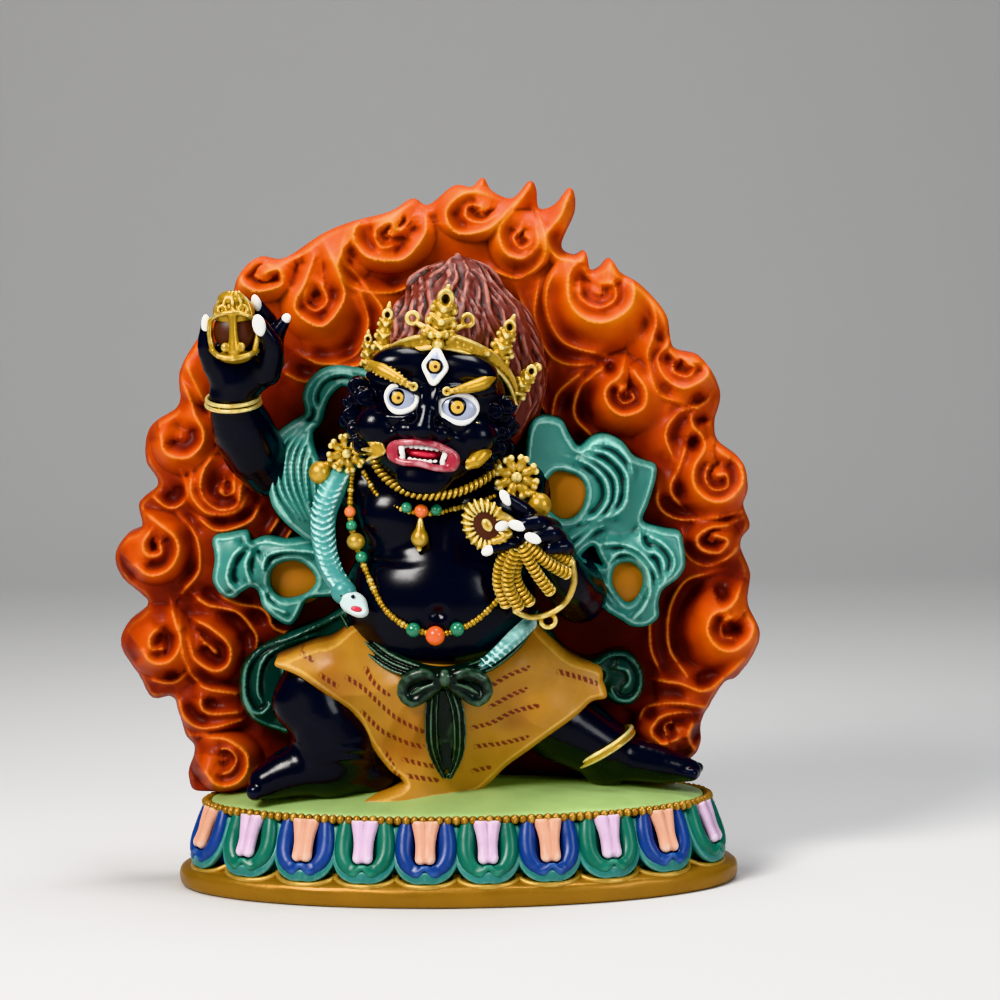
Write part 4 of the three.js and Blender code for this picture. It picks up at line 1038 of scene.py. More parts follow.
# %% The tree that repeats a shape
def make_row_tree():
    tree = bpy.data.node_groups.new("row_on_path", "GeometryNodeTree")
    face = tree.interface
    face.new_socket("Path", in_out="INPUT", socket_type="NodeSocketGeometry")
    face.new_socket("Shape", in_out="INPUT", socket_type="NodeSocketObject")
    face.new_socket("Count", in_out="INPUT", socket_type="NodeSocketInt").default_value = 10
    face.new_socket("Size", in_out="INPUT", socket_type="NodeSocketFloat").default_value = 1.0
    face.new_socket("Size Change", in_out="INPUT", socket_type="NodeSocketFloat").default_value = 0.0
    face.new_socket("Upright", in_out="INPUT", socket_type="NodeSocketBool").default_value = True
    face.new_socket("Material", in_out="INPUT", socket_type="NodeSocketMaterial")
    face.new_socket("Pieces", in_out="OUTPUT", socket_type="NodeSocketGeometry")
    given = add_node(tree, "NodeGroupInput").outputs
    spots = add_node(tree, "GeometryNodeCurveToPoints", {"Curve": given["Path"], "Count": given["Count"]},
                     mode="COUNT")
    tangent = spots.outputs["Tangent"]
    free = add_node(tree, "FunctionNodeAlignRotationToVector", {"Vector": tangent}, axis="X")
    level = add_node(tree, "FunctionNodeAlignRotationToVector", {"Vector": tangent}, axis="X", pivot_axis="Z")
    choice = add_node(tree, "GeometryNodeSwitch", {"Switch": given["Upright"], "False": free.outputs[0],
                                                   "True": level.outputs[0]}, input_type="ROTATION")
    change = add_node(tree, "FunctionNodeRandomValue", {"Seed": 7}, data_type="FLOAT")
    for key, value in (("Min", -1.0), ("Max", 1.0)):
        next(s for s in change.inputs if s.name == key and s.type == "VALUE").default_value = value
    scatter = next(s for s in change.outputs if s.type == "VALUE")
    size = add_node(tree, "ShaderNodeMath", {0: scatter, 1: given["Size Change"], 2: given["Size"]},
                    operation="MULTIPLY_ADD")
    shape = add_node(tree, "GeometryNodeObjectInfo", {"Object": given["Shape"]})
    copies = add_node(tree, "GeometryNodeInstanceOnPoints",
                      {"Points": spots.outputs["Points"], "Instance": shape.outputs["Geometry"],
                       "Rotation": choice.outputs[0], "Scale": size.outputs[0]})
    real = add_node(tree, "GeometryNodeRealizeInstances", {"Geometry": copies.outputs[0]})
    dressed = add_node(tree, "GeometryNodeSetMaterial", {"Geometry": real.outputs[0],
                                                        "Material": given["Material"]})
    add_node(tree, "NodeGroupOutput", {"Pieces": dressed.outputs[0]})
    return tree


ROW_TREE = make_row_tree()


def path_object(name, points, closed=False):
    """A curve object through points in millimetres."""
    curve = bpy.data.curves.new(name, "CURVE")
    curve.dimensions = "3D"
    line = curve.splines.new("POLY")
    line.points.add(len(points) - 1)
    for spot, place in zip(line.points, points):
        spot.co = (*[float(v) * MM for v in place], 1.0)
    line.use_cyclic_u = closed
    made = bpy.data.objects.new(name, curve)
    bpy.context.scene.collection.objects.link(made)
    return made


def row_along(name, points, shape, count, material, size=1.0, change=0.0, upright=True, closed=False):
    """A piece made of copies of a shape along a path. Copies that carry no relief get painted shade towards the path
    and painted highlight on the side away from it.
    """
    path = path_object(name + "_path", points, closed)
    modifier = path.modifiers.new("row", "NODES")
    modifier.node_group = ROW_TREE
    key = {item.name: item.identifier for item in ROW_TREE.interface.items_tree if item.in_out == "INPUT"}
    for label, value in (("Shape", shape), ("Count", count), ("Size", size), ("Size Change", change),
                         ("Upright", upright), ("Material", material)):
        modifier[key[label]] = value
    evaluated = path.evaluated_get(bpy.context.evaluated_depsgraph_get())
    mesh = bpy.data.meshes.new_from_object(evaluated)
    mesh.name = name
    if not mesh.materials:
        mesh.materials.append(material)
    bpy.data.objects.remove(path)
    made = bpy.data.objects.new(name, mesh)
    bpy.context.scene.collection.objects.link(made)
    mesh.polygons.foreach_set("use_smooth", np.ones(len(mesh.polygons), bool))
    # Painted shade where the copies sit on the path, painted highlight on their far sides.
    if not mesh.attributes.get("relief"):
        found = read_points(mesh) / MM
        gap = np.full(len(found), 1e9)
        for spot in np.asarray(points):
            gap = np.minimum(gap, ((found - spot) ** 2).sum(1))
        gap = np.sqrt(gap) / np.sqrt(gap.max())
        write_number(mesh, "relief", ((gap - 0.72) / 0.26).clip(-1, 1))
    return made


def pattern(piece):
    """Takes a shape that is only copied by rows out of the render."""
    piece.hide_render = True
    piece.hide_viewport = True
    return piece


def small_ball(name, radius, rings=6, sides=8, squash=(1, 1, 1)):
    """A ball of a few dozen faces for rows of beads."""
    angles = np.linspace(0, 2 * math.pi, sides, endpoint=False)
    rows = [np.stack([math.sin(p) * np.cos(angles), math.sin(p) * np.sin(angles), np.full(sides, math.cos(p))], 1)
            for p in np.linspace(math.pi, 0, rings + 1)[1:-1]]
    points = np.concatenate(rows + [np.array([[0, 0, -1], [0, 0, 1]])]) * radius * np.array(squash)
    k = np.arange(sides)
    n = (k + 1) % sides
    quads = [np.stack([r * sides + k, r * sides + n, (r + 1) * sides + n, (r + 1) * sides + k], 1)
             for r in range(rings - 2)]
    low, high = len(points) - 2, len(points) - 1
    caps = np.concatenate([np.stack([n, k, np.full(sides, low)], 1),
                           np.stack([(rings - 2) * sides + k, (rings - 2) * sides + n, np.full(sides, high)], 1)])
    return pattern(new_piece(name, points, np.concatenate(quads), caps))


print("row tree has", len(ROW_TREE.nodes), "nodes")

# %% [markdown]
# ## Petals
# One petal is a cushion with a heart-shaped tip that curls up, a pale rim under it, and a
# tongue in its middle that ends in two lobes. It is pressed from clay once, at the middle of
# the front, with Y pointing inwards. Green and blue petals alternate.


# %% One petal in clay
PETAL_CELL = 0.3
PETAL_LOW, PETAL_HIGH = (-7.4, -5.6, 4.4), (7.4, 3.0, 17.4)


def both(points):
    """A half line and its mirror image, as one line."""
    return [(-x, y, z) for x, y, z in points] + [(x, y, z) for x, y, z in points[::-1][1:]]


petal_clay = Clay(PETAL_LOW, PETAL_HIGH, PETAL_CELL)
petal_clay.add(ball((0, 0.6, 10.6), (5.9, 2.4, 6.4), (8, 0, 0)), 0)
for side in (-1, 1):
    lobe = [(4.1 * side, 0.5, 16.6), (4.5 * side, -0.7, 12.6), (4.2 * side, -1.9, 9.8), (2.7 * side, -2.9, 8.0),
            (0.5 * side, -3.5, 8.7)]
    petal_clay.add(rod(lobe, [1.5, 1.8, 1.9, 1.8, 0.9], 0.8), 0.5)
petal_clay.cut(rod([(0, -1.4, 17.0), (0, -2.6, 10.6)], [2.9, 2.6]), 0.4)
for side in (-1, 1):
    petal_clay.add(rod([(3.4 * side, -3.0, 7.6), (1.7 * side, -4.0, 7.3), (0.4 * side, -4.4, 8.4)], [0.9, 1.1, 0.6], 0.6), 0.4)
PETAL_SHAPE = pattern(petal_clay.mesh("petal_shape", None, share=0.4))

rim_clay = Clay(PETAL_LOW, PETAL_HIGH, PETAL_CELL)
rim_line = [(6.1, 0.9, 15.6), (6.25, -0.4, 12.0), (5.7, -1.8, 9.0), (4.1, -3.0, 6.9), (1.8, -3.7, 6.1), (0, -4.0, 6.4)]
rim_clay.add(strap(both(rim_line), [0.75, 0.8, 0.9, 1.1, 1.3, 1.1, 0.9, 0.8, 0.75], 0.75, spacing=0.8), 0)
RIM_SHAPE = pattern(rim_clay.mesh("rim_shape", None, share=0.4))

tongue_clay = Clay(PETAL_LOW, PETAL_HIGH, PETAL_CELL)
for side in (-1, 1):
    lobe = [(1.35 * side, -0.2, 17.0), (1.0 * side, -1.5, 14.6), (0.85 * side, -2.4, 12.2), (0.9 * side, -3.4, 10.2)]
    tongue_clay.add(rod(lobe, [1.6, 1.35, 1.2, 1.25], 0.8), 0.5)
TONGUE_SHAPE = pattern(tongue_clay.mesh("tongue_shape", None, share=0.5))

scallop_clay = Clay((-7.4, -6.2, 3.4), (7.4, 3.0, 8.4), PETAL_CELL)
scallop_line = [(6.7, -0.4, 6.0), (5.4, -2.4, 5.0), (3.2, -3.8, 4.5), (0, -4.4, 4.4)]
scallop_clay.add(rod(both(scallop_line), 0.6, 0.8), 0)
SCALLOP_SHAPE = pattern(scallop_clay.mesh("scallop_shape", None, share=0.3))

# %% Petals round the plinth
PETAL_COUNT = 20
PETAL_INSET = 6.6


def oval_path(inset, height, start=0.0, count=720):
    """Points round the oval in even steps. It starts a share of a petal's width right of the middle."""
    a, b = oval_size(inset)
    angle = np.linspace(-math.pi / 2, 1.5 * math.pi, 4000)
    line = np.stack([a * np.cos(angle), b * np.sin(angle)], 1)
    length = np.concatenate([[0], np.cumsum(np.linalg.norm(np.diff(line, axis=0), axis=1))])
    wanted = (np.arange(count) / count + start) % 1.0 * length[-1]
    return np.stack([np.interp(wanted, length, line[:, 0]), np.interp(wanted, length, line[:, 1]),
                     np.full(count, height)], 1)


PETAL_GREEN = paint("petal_green", colour(18, 100, 80), colour(3, 24, 26), colour(70, 158, 132), roughness=0.36,
                    wash_and_shade_amount=0.9, edge_amount=0.45, unevenness=0.2)
PETAL_BLUE = paint("petal_blue", colour(26, 58, 128), colour(4, 8, 32), colour(70, 116, 184), roughness=0.36,
                   wash_and_shade_amount=0.9, edge_amount=0.45, unevenness=0.2)
PETAL_RIM = paint("petal_rim", colour(44, 118, 112), colour(8, 42, 42), colour(120, 182, 170), roughness=0.38,
                  wash_and_shade_amount=0.8, unevenness=0.2)
LILAC = paint("tongue_lilac", colour(206, 176, 204), colour(96, 62, 92), colour(248, 236, 244), roughness=0.42,
              wash_and_shade_amount=0.8)
PEACH = paint("tongue_peach", colour(226, 166, 136), colour(120, 62, 40), colour(252, 228, 208), roughness=0.42,
              wash_and_shade_amount=0.8)

half_pitch = 0.5 / PETAL_COUNT
green_path = oval_path(PETAL_INSET, 0.0, half_pitch)
blue_path = oval_path(PETAL_INSET, 0.0, -half_pitch)
rim_path = oval_path(PETAL_INSET, 0.0, half_pitch)
half = PETAL_COUNT // 2
keep(row_along("petals_green", green_path, PETAL_SHAPE, half, PETAL_GREEN, closed=True), "lotus_base")
keep(row_along("petals_blue", blue_path, PETAL_SHAPE, half, PETAL_BLUE, closed=True), "lotus_base")
keep(row_along("petal_rims", rim_path, RIM_SHAPE, PETAL_COUNT, PETAL_RIM, closed=True), "lotus_base")
keep(row_along("petal_tongues_lilac", green_path, TONGUE_SHAPE, half, LILAC, closed=True), "lotus_base")
keep(row_along("petal_tongues_peach", blue_path, TONGUE_SHAPE, half, PEACH, closed=True), "lotus_base")
keep(row_along("foot_scallops", rim_path, SCALLOP_SHAPE, PETAL_COUNT, FOOT_GOLD, closed=True), "lotus_base")

# %% Beads round the top
BEAD_COUNT = 148
BEAD_SHAPE = small_ball("bead_shape", 1.0)
bead_path = oval_path(6.0, 17.6)
keep(row_along("rim_beads", bead_path, BEAD_SHAPE, BEAD_COUNT, FOOT_GOLD, size=0.98, change=0.07, closed=True),
     "lotus_base")

# %% [markdown]
# ## The body
# The stout body is one mass of resin under gloss dark blue. Belly, chest and hips are large
# balls with wide fillets between them, and a crease parts the chest from the belly.

# %% Belly and chest
body = Clay((-30, -27, 38), (30, 6, 96), 0.45)
body.add(ball((-3, -5, 50), (19, 10, 9)), 0)
body.add(ball((-3, -8.5, 61.5), (20, 15, 17.2)), 5)
body.add(ball((-2, -6, 79), (18.6, 11.4, 12)), 5)
body.add(ball((-11, -13.4, 79.6), (8.6, 5.6, 7.2), (0, 12, 0)), 3)
body.add(ball((6.4, -13.2, 79.6), (8.6, 5.6, 7.2), (0, -12, 0)), 3)
body.add(ball((-17.4, -6, 85.4), (8, 7.4, 7)), 4)
body.add(ball((12.4, -4.6, 84.6), (7.8, 7.0, 7.0)), 4)
body.add(ball((-3, -7, 91), (11, 8.4, 7)), 4)
body.cut(rod([(-16, -16.4, 71), (-9, -21.2, 71.4), (-2.4, -22.6, 72.6), (5, -20.6, 71.4), (11, -16.6, 70)],
             [0.4, 0.8, 0.9, 0.8, 0.4]), 1.6)
body.cut(rod([(-2.4, -19.6, 84), (-2.3, -19.2, 78), (-2.4, -20.4, 73.6)], [0.3, 0.6, 0.3]), 1.6)
body.cut(ball((-3.2, -24.2, 60.4), (1.5, 1.8, 1.2)), 1.2)
keep(body.mesh("body", NAVY, smooth=3), "figure")

# %% [markdown]
# ## Legs
# The figure lunges to the right: the left knee is bent deep and the right leg reaches out. Both
# feet stand on the swelling top of the plinth, and the toes are small balls.


# %% Legs and feet
def toes(clay, heel, tip, count, size):
    """A row of toes across the front of a foot."""
    heel, tip = np.array(heel, float), np.array(tip, float)
    for k in range(count):
        share = k / (count - 1)
        spot = tip + np.array([0.25 * size * k, -1.0 * size + 1.1 * size * k, 0.0])
        root = spot + (heel - tip) / np.linalg.norm(heel - tip) * 3.4
        clay.add(rod([root, spot], [0.75 * size, (0.82 - 0.14 * share) * size]), 0.4)


left_leg = Clay((-50, -26, 17.5), (-8, 6, 62), 0.42)
left_leg.add(rod([(-10, -5, 49), (-22, -9.6, 46.0), (-30.4, -12.4, 43.8)], [8.6, 5.8, 5.6]), 0)
left_leg.add(rod([(-30.2, -12.6, 44.2), (-28.6, -12.0, 39), (-26.4, -10.6, 33), (-25.4, -9.4, 27)],
                 [5.9, 7.4, 8.0, 7.0]), 2)
left_leg.add(ball((-33.4, -12.2, 40.6), (4.9, 5.2, 5.4)), 2)
left_leg.add(ball((-22.4, -8.6, 34), (6.8, 6.2, 8.8)), 3)
left_leg.add(rod([(-20.4, -7.5, 24.6), (-27, -9.4, 26.2), (-34, -11.2, 25.8), (-39.6, -12.4, 23.8)],
                 [4.9, 6.3, 5.5, 3.9]), 2.4)
left_leg.add(ball((-17.6, -6.4, 24.2), (4.8, 4.8, 4.6)), 2.4)
left_leg.add(ball((-24.4, -14.8, 29.6), (2.0, 1.5, 1.9)), 1.4)
toes(left_leg, (-30, -9, 24), (-42.0, -12.4, 22.2), 5, 2.3)
for height, girth in ((29.0, 7.6), (31.0, 7.9)):
    left_leg.add(hoop((-25.4, -9.6, height), (girth, girth), 0.55, (0.1, 0.1, 1)), 0.9)
keep(left_leg.mesh("left_leg", NAVY, smooth=3), "figure")

right_leg = Clay((2, -22, 17.5), (56, 6, 58), 0.42)
right_leg.add(rod([(6, -4, 47), (14, -4.0, 40.5), (21.5, -3.4, 34.5), (30.6, -2.6, 28.6)], [9.2, 9.0, 8.2, 6.6]), 0)
right_leg.add(rod([(31.0, -1.6, 24.8), (36, -2.2, 26.0), (43, -3.0, 24.8), (49.2, -3.6, 23.6)],
                  [4.2, 4.8, 3.9, 2.4]), 2)
right_leg.add(ball((31.6, -1.4, 24.6), (4.4, 4.4, 4.2)), 2)
toes(right_leg, (38, -2, 24.6), (49.6, -4.2, 23.2), 5, 1.7)
keep(right_leg.mesh("right_leg", NAVY, smooth=3), "figure")

anklet = Clay((18, -14, 20), (42, 6, 40), 0.3)
for step in (0.0, 1.0):
    middle = (31.2 - 0.5 * step, -2.6, 28.2 + 0.86 * step)
    anklet.add(hoop(middle, (7.2 + 0.2 * step, 7.2 + 0.2 * step), 0.5, (0.5, 0.0, -0.86)), 0.2)
keep(anklet.mesh("anklet", GOLD), "figure")

# %% [markdown]
# ## The raised arm
# The raised hand holds up a short gold sceptre between its fingers, like an egg in a cup. The
# nails are small white pieces laid on the finger tips, and the bracelet is a pair of rings.

# %% Raised arm and hand
WHITE = paint("white_paint", colour(238, 238, 234), colour(120, 120, 130), colour(255, 255, 255), roughness=0.3,
              wash_and_shade_amount=0.4, edge_amount=0.3, unevenness=0.04, bump=0.1)
DARK_BROWN = paint("hollow_brown", colour(66, 26, 8), colour(20, 6, 2), colour(120, 60, 20), roughness=0.5)

raised = Clay((-56, -25, 72), (-12, 7, 130), 0.36)
raised.add(rod([(-16, -3.4, 86), (-24, -1.4, 86.2), (-32, -0.8, 87.0), (-38.6, -2.2, 88.6)], [7.6, 6.4, 5.8, 5.4]), 0)
raised.add(rod([(-39.0, -2.6, 88.6), (-41.4, -5.0, 92.6), (-43.9, -8.2, 98.4), (-45.2, -11.2, 104), (-44.6, -12.4, 107.4)],
               [5.5, 6.5, 6.4, 5.1, 4.9]), 1.5)
raised.add(ball((-43.0, -12.6, 111), (6.8, 4.6, 6.4)), 2)
raised.add(ball((-38.2, -13.0, 112.4), (3.6, 3.8, 5.4)), 1.5)
raised.add(ball((-47.6, -13.6, 111.6), (3.0, 3.4, 4.6)), 1.5)
RAISED_FINGERS = [
    ([(-48.8, -14.2, 111.4), (-50.2, -16.2, 115.4), (-49.9, -16.6, 119.8)], [2.4, 1.8, 1.2]),
    ([(-41.6, -11.2, 114), (-39.8, -10.4, 119.6), (-41.9, -12.6, 123.6)], [2.3, 2.0, 1.3]),
    ([(-38.4, -11.2, 113), (-37.2, -10.8, 119.0), (-39.4, -13.0, 123.4)], [2.3, 2.0, 1.3]),
    ([(-37.6, -14.8, 109.6), (-36.4, -17.6, 115.0), (-38.6, -19.6, 119.6)], [2.6, 2.3, 1.6]),
    ([(-37.2, -12.6, 112), (-36.0, -13.6, 117.2), (-34.0, -14.4, 120.4)], [2.6, 2.0, 1.2]),
]
for points, radii in RAISED_FINGERS:
    raised.add(rod(points, radii), 0.9)
keep(raised.mesh("raised_arm", NAVY, smooth=3), "figure")

nails = Clay((-54, -24, 114), (-31, -6, 129), 0.28)
for at, radii, turn in (((-50.0, -17.4, 119.8), (1.0, 0.8, 2.3), (10, 0, 0)), ((-42.3, -13.6, 124.0), (1.1, 0.9, 2.0), (20, -28, 0)),
                        ((-39.8, -14.0, 124.0), (1.0, 0.9, 2.0), (20, -16, 0)), ((-38.9, -20.9, 119.8), (1.4, 0.8, 2.4), (12, -10, 0)),
                        ((-33.7, -15.0, 120.8), (1.0, 0.8, 1.2), (10, 30, 0))):
    nails.add(ball(at, radii, turn), 0)
keep(nails.mesh("raised_nails", WHITE), "figure")

bracelet = Clay((-53, -22, 98), (-35, -2, 109), 0.26)
for step, girth in ((0.0, 5.6), (1.1, 5.45)):
    bracelet.add(hoop((-45.2, -11.2 - 0.4 * step, 103.2 + step), (girth, girth), 0.46, (0.02, 0.24, -1)), 0.15)
keep(bracelet.mesh("bracelet", GOLD), "figure")

# %% The sceptre
POLE = np.array((-44.3, -17.4, 118.4))
sceptre = Clay((-52, -25, 110), (-36, -10, 130), 0.22)
sceptre.add(ball(POLE + (0, 0.4, 4.0), (4.3, 3.6, 3.5)), 0)
sceptre.add(ball(POLE + (-0.4, -0.4, 6.8), (2.8, 2.6, 1.7)), 0.5)
for turn_deg in range(-60, 90, 30):
    a = math.radians(turn_deg)
    sceptre.add(rod([POLE + (4.3 * math.sin(a), 0.2 - 3.4 * math.cos(a), 3.6), POLE + (3.4 * math.sin(a), -3.0 * math.cos(a), 6.2),
                     POLE + (1.4 * math.sin(a), -0.6 - 1.6 * math.cos(a), 8.2)], [0.34, 0.4, 0.3]), 0.15)
for side in (-1, 1):
    sceptre.add(hoop(POLE + (2.1 * side, -2.9, 4.6), (0.85, 0.85), 0.36, (0.2 * side, -1, 0.2)), 0.15)
for lift, depth_out in ((2.4, 0.5), (-3.6, 0.6)):
    sceptre.add(rod([POLE + (-4.6, -0.8, lift), POLE + (-3.0, -3.0, lift + 1.2 * np.sign(lift)),
                     POLE + (0, -3.9, lift + 1.7 * np.sign(lift)), POLE + (3.0, -3.0, lift + 1.1 * np.sign(lift)),
                     POLE + (4.7, -0.8, lift - 0.3)], depth_out), 0.2)
for side in (-1, 1):
    sceptre.add(rod([POLE + (4.7 * side, -0.8, 2.4), POLE + (5.0 * side, -1.2, -0.4), POLE + (4.4 * side, -1.4, -3.4)],
                    [0.6, 0.5, 0.6]), 0.2)
    sceptre.add(ball(POLE + (1.6 * side, -3.4, -3.0), (0.9, 0.8, 1.0)), 0.3)
sceptre.add(rod([POLE + (0, -3.4, 4.0), POLE + (0.1, -3.5, 0.6), POLE + (0.2, -3.4, -3.6)], [0.9, 0.8, 1.3]), 0.3)
sceptre.add(ball(POLE + (0.2, -1.0, -5.0), (3.4, 2.6, 1.5)), 0.6)
keep(sceptre.mesh("sceptre", GOLD), "figure")
core = Clay((-51, -23, 112), (-38, -11, 124), 0.35)
core.add(ball(POLE + (0.1, 0.2, 0.2), (4.4, 3.2, 4.2)), 0)
keep(core.mesh("sceptre_hollow", DARK_BROWN), "figure")

# %% [markdown]
# ## The bent arm
# The other hand is held before the chest. It grips a gold hook and a noose of twisted cord, so
# the fingers close over both. The cord is three strands of small ribs on a node tree's path.

# %% Bent arm and hand
bent = Clay((2, -30, 50), (42, 7, 96), 0.38)
bent.add(rod([(13, -2.4, 85.0), (19.6, 1.6, 79), (23.4, 1.6, 71), (25.8, -1.6, 64.6), (26.2, -5.0, 61.4)],
             [6.6, 4.4, 4.2, 5.0, 5.6]), 0)
bent.add(rod([(26.0, -6.0, 61.8), (23.8, -11.4, 65.0), (21.6, -15.4, 69.4), (19.2, -17.8, 72.6)],
             [5.6, 5.2, 4.5, 4.0]), 1.5)
bent.add(ball((17.2, -19.0, 75.0), (6.0, 3.6, 4.6), (0, 28, 0)), 2)
bent.add(ball((17.8, -21.2, 75.2), (5.8, 3.0, 3.6), (0, 26, 0)), 1)
BENT_FINGERS = [
    ([(17.2, -20.4, 78.6), (14.6, -22.6, 81.6), (11.6, -23.8, 84.0)], [1.9, 1.6, 1.1]),
    ([(20.4, -20.4, 77.2), (17.0, -24.4, 79.0), (13.6, -24.8, 78.4)], [2.2, 1.9, 1.3]),
    ([(22.2, -20.0, 74.6), (20.2, -24.2, 76.6), (16.8, -25.0, 76.0)], [2.2, 1.9, 1.3]),
    ([(23.2, -19.0, 72.2), (22.8, -23.0, 73.8), (20.0, -24.4, 73.6)], [2.1, 1.8, 1.2]),
    ([(14.6, -20.4, 73.6), (11.2, -22.8, 74.4), (8.2, -23.8, 73.8)], [2.2, 1.8, 1.2]),
]
for points, radii in BENT_FINGERS:
    bent.add(rod(points, radii), 0.8)
keep(bent.mesh("bent_arm", NAVY, smooth=3), "figure")

bent_nails = Clay((3, -30, 68), (25, -19, 88), 0.28)
for at, radii, turn in (((10.9, -24.4, 84.2), (1.0, 0.8, 1.9), (0, -30, 0)), ((13.2, -25.8, 78.6), (1.9, 0.8, 1.1), (0, 20, 0)),
                        ((16.4, -26.0, 76.0), (1.9, 0.8, 1.1), (0, 24, 0)), ((10.2, -24.2, 78.4), (1.6, 0.8, 1.1), (0, -20, 0)),
                        ((7.2, -24.4, 73.4), (1.5, 0.8, 1.1), (0, -30, 0))):
    bent_nails.add(ball(at, radii, turn), 0)
keep(bent_nails.mesh("bent_nails", WHITE), "figure")

# %% Hook
HOOK_AT = np.array((6.9, -23.4, 78.4))
hook = Clay((-1, -28, 69), (15, -18, 88), 0.25)
hook_turn = np.array(Matrix.Rotation(math.radians(-30), 3, "Y"))


def on_hook(angle, reach, forward=0.0):
    """A point round the hook's tilted oval."""
    place = (reach * 4.1 * math.cos(angle), forward, reach * 5.2 * math.sin(angle))
    return HOOK_AT + hook_turn @ np.array(place)


hook_ring = np.array([on_hook(a, 0.9) for a in np.linspace(0, 2 * math.pi, 40)])
hook.add(rod(hook_ring, 0.8, straight=True), 0)
for k in range(22):
    a = 2 * math.pi * k / 22
    hook.add(rod([on_hook(a, 0.62, -0.5), on_hook(a, 0.9, -0.95), on_hook(a, 1.12, -0.2)], [0.3, 0.42, 0.32], 0.5), 0.1)
hook.add(rod([HOOK_AT + (2.4, -0.6, 2.6), HOOK_AT + (4.6, -0.8, 1.6), HOOK_AT + (6.0, -0.4, 0.6)], [0.8, 0.7, 0.5]), 0.3)
hook.add(rod([HOOK_AT + (1.6, -0.6, -3.2), HOOK_AT + (3.4, -0.8, -2.6), HOOK_AT + (5.0, -0.4, -1.6)], [0.8, 0.7, 0.5]), 0.3)
hook.add(ball(HOOK_AT + (0.2, -0.7, 0.2), (1.0, 0.7, 1.5), (0, -30, 0)), 0.1)
hook_core = Clay(HOOK_AT - (6, 2, 7), HOOK_AT + (6, 2, 7), 0.3)
hook_core.add(ball(HOOK_AT + (0, 0.1, 0), (3.4, 0.8, 4.5), (0, -30, 0)), 0)
keep(hook_core.mesh("hook_hollow", DARK_BROWN), "figure")
keep(hook.mesh("hook", GOLD, share=0.6, times=5, depth=0.07), "figure")

# %% The twisted noose
RIB_SHAPE = small_ball("rib_shape", 1.0, rings=6, sides=8, squash=(0.34, 1.2, 1.2))
RIB_SHAPE.data.transform(Matrix.Rotation(math.radians(38), 4, "Z"))
NOOSE_STRANDS = {
    "noose_1": ([(11.4, -23.0, 73.4), (9.8, -23.4, 70.6), (9.3, -23.6, 66.4), (10.8, -23.4, 62.2)], 14),
    "noose_2": ([(12.8, -24.4, 73.0), (11.3, -24.8, 69.2), (11.4, -24.9, 65.6), (13.3, -24.5, 61.8)], 14),
    "noose_3": ([(14.0, -23.4, 73.0), (12.7, -23.6, 69.0), (13.4, -23.7, 65.8), (15.6, -23.4, 62.6)], 13),
    "noose_4": ([(14.4, -24.8, 73.8), (16.2, -25.2, 70.2), (18.0, -25.2, 67.4), (19.8, -24.8, 65.0)], 12),
    "noose_5": ([(15.4, -24.2, 74.6), (18.2, -24.4, 71.8), (20.8, -24.2, 69.8), (23.2, -23.6, 68.4)], 12),
    "noose_6": ([(17.0, -23.2, 75.2), (20.2, -23.0, 73.2), (23.6, -22.4, 70.8)], 10),
}
for name, (points, count) in NOOSE_STRANDS.items():
    keep(row_along(name, smooth_line(points), RIB_SHAPE, count, GOLD, size=1.12, upright=False),
         "figure")
noose = Clay((8, -28, 54), (28, -16, 78), 0.26)
noose.add(rod([(24.4, -22.0, 70.6), (24.8, -22.0, 66.4), (23.2, -22.0, 62.4), (19.6, -21.8, 59.8), (15.6, -22.2, 59.2),
               (12.6, -22.6, 60.6)], [0.7, 0.7, 0.6, 0.6, 0.6, 0.6]), 0)
for points, _ in NOOSE_STRANDS.values():
    noose.add(rod([np.array(p) + (0, 0.5, 0) for p in points], 0.75), 0)
noose.add(hoop((19.4, -21.4, 58.4), (1.5, 1.4), 0.5), 0.2)
keep(noose.mesh("noose_ring", GOLD), "figure")

# %% [markdown]
# ## The head
# The head leans a little to the right, so its parts are placed in the head's own upright
# directions and then leaned together. The face is a mask of fury: swollen brows, round staring
# eyes, a broad nose and an open mouth. The dark curls at its sides are short bent rods.

# %% Head placing
HEAD_LEAN = 7.0
HEAD_AT = np.array((-4.75, -11.0, 101.5))
LEAN = np.array(Matrix.Rotation(math.radians(HEAD_LEAN), 3, "Y"))


def on_head(*places):
    """Points given from the head's middle, moved to where the leaning head has them."""
    moved = [HEAD_AT + LEAN @ np.asarray(place, float) for place in places]
    return moved[0] if len(moved) == 1 else moved


def head_ball(at, radii, turn=0.0):
    return ball(on_head(at), radii, (0, HEAD_LEAN + turn, 0))


def head_rod(points, radii, spacing=0.8):
    return rod(on_head(*points), radii, spacing)


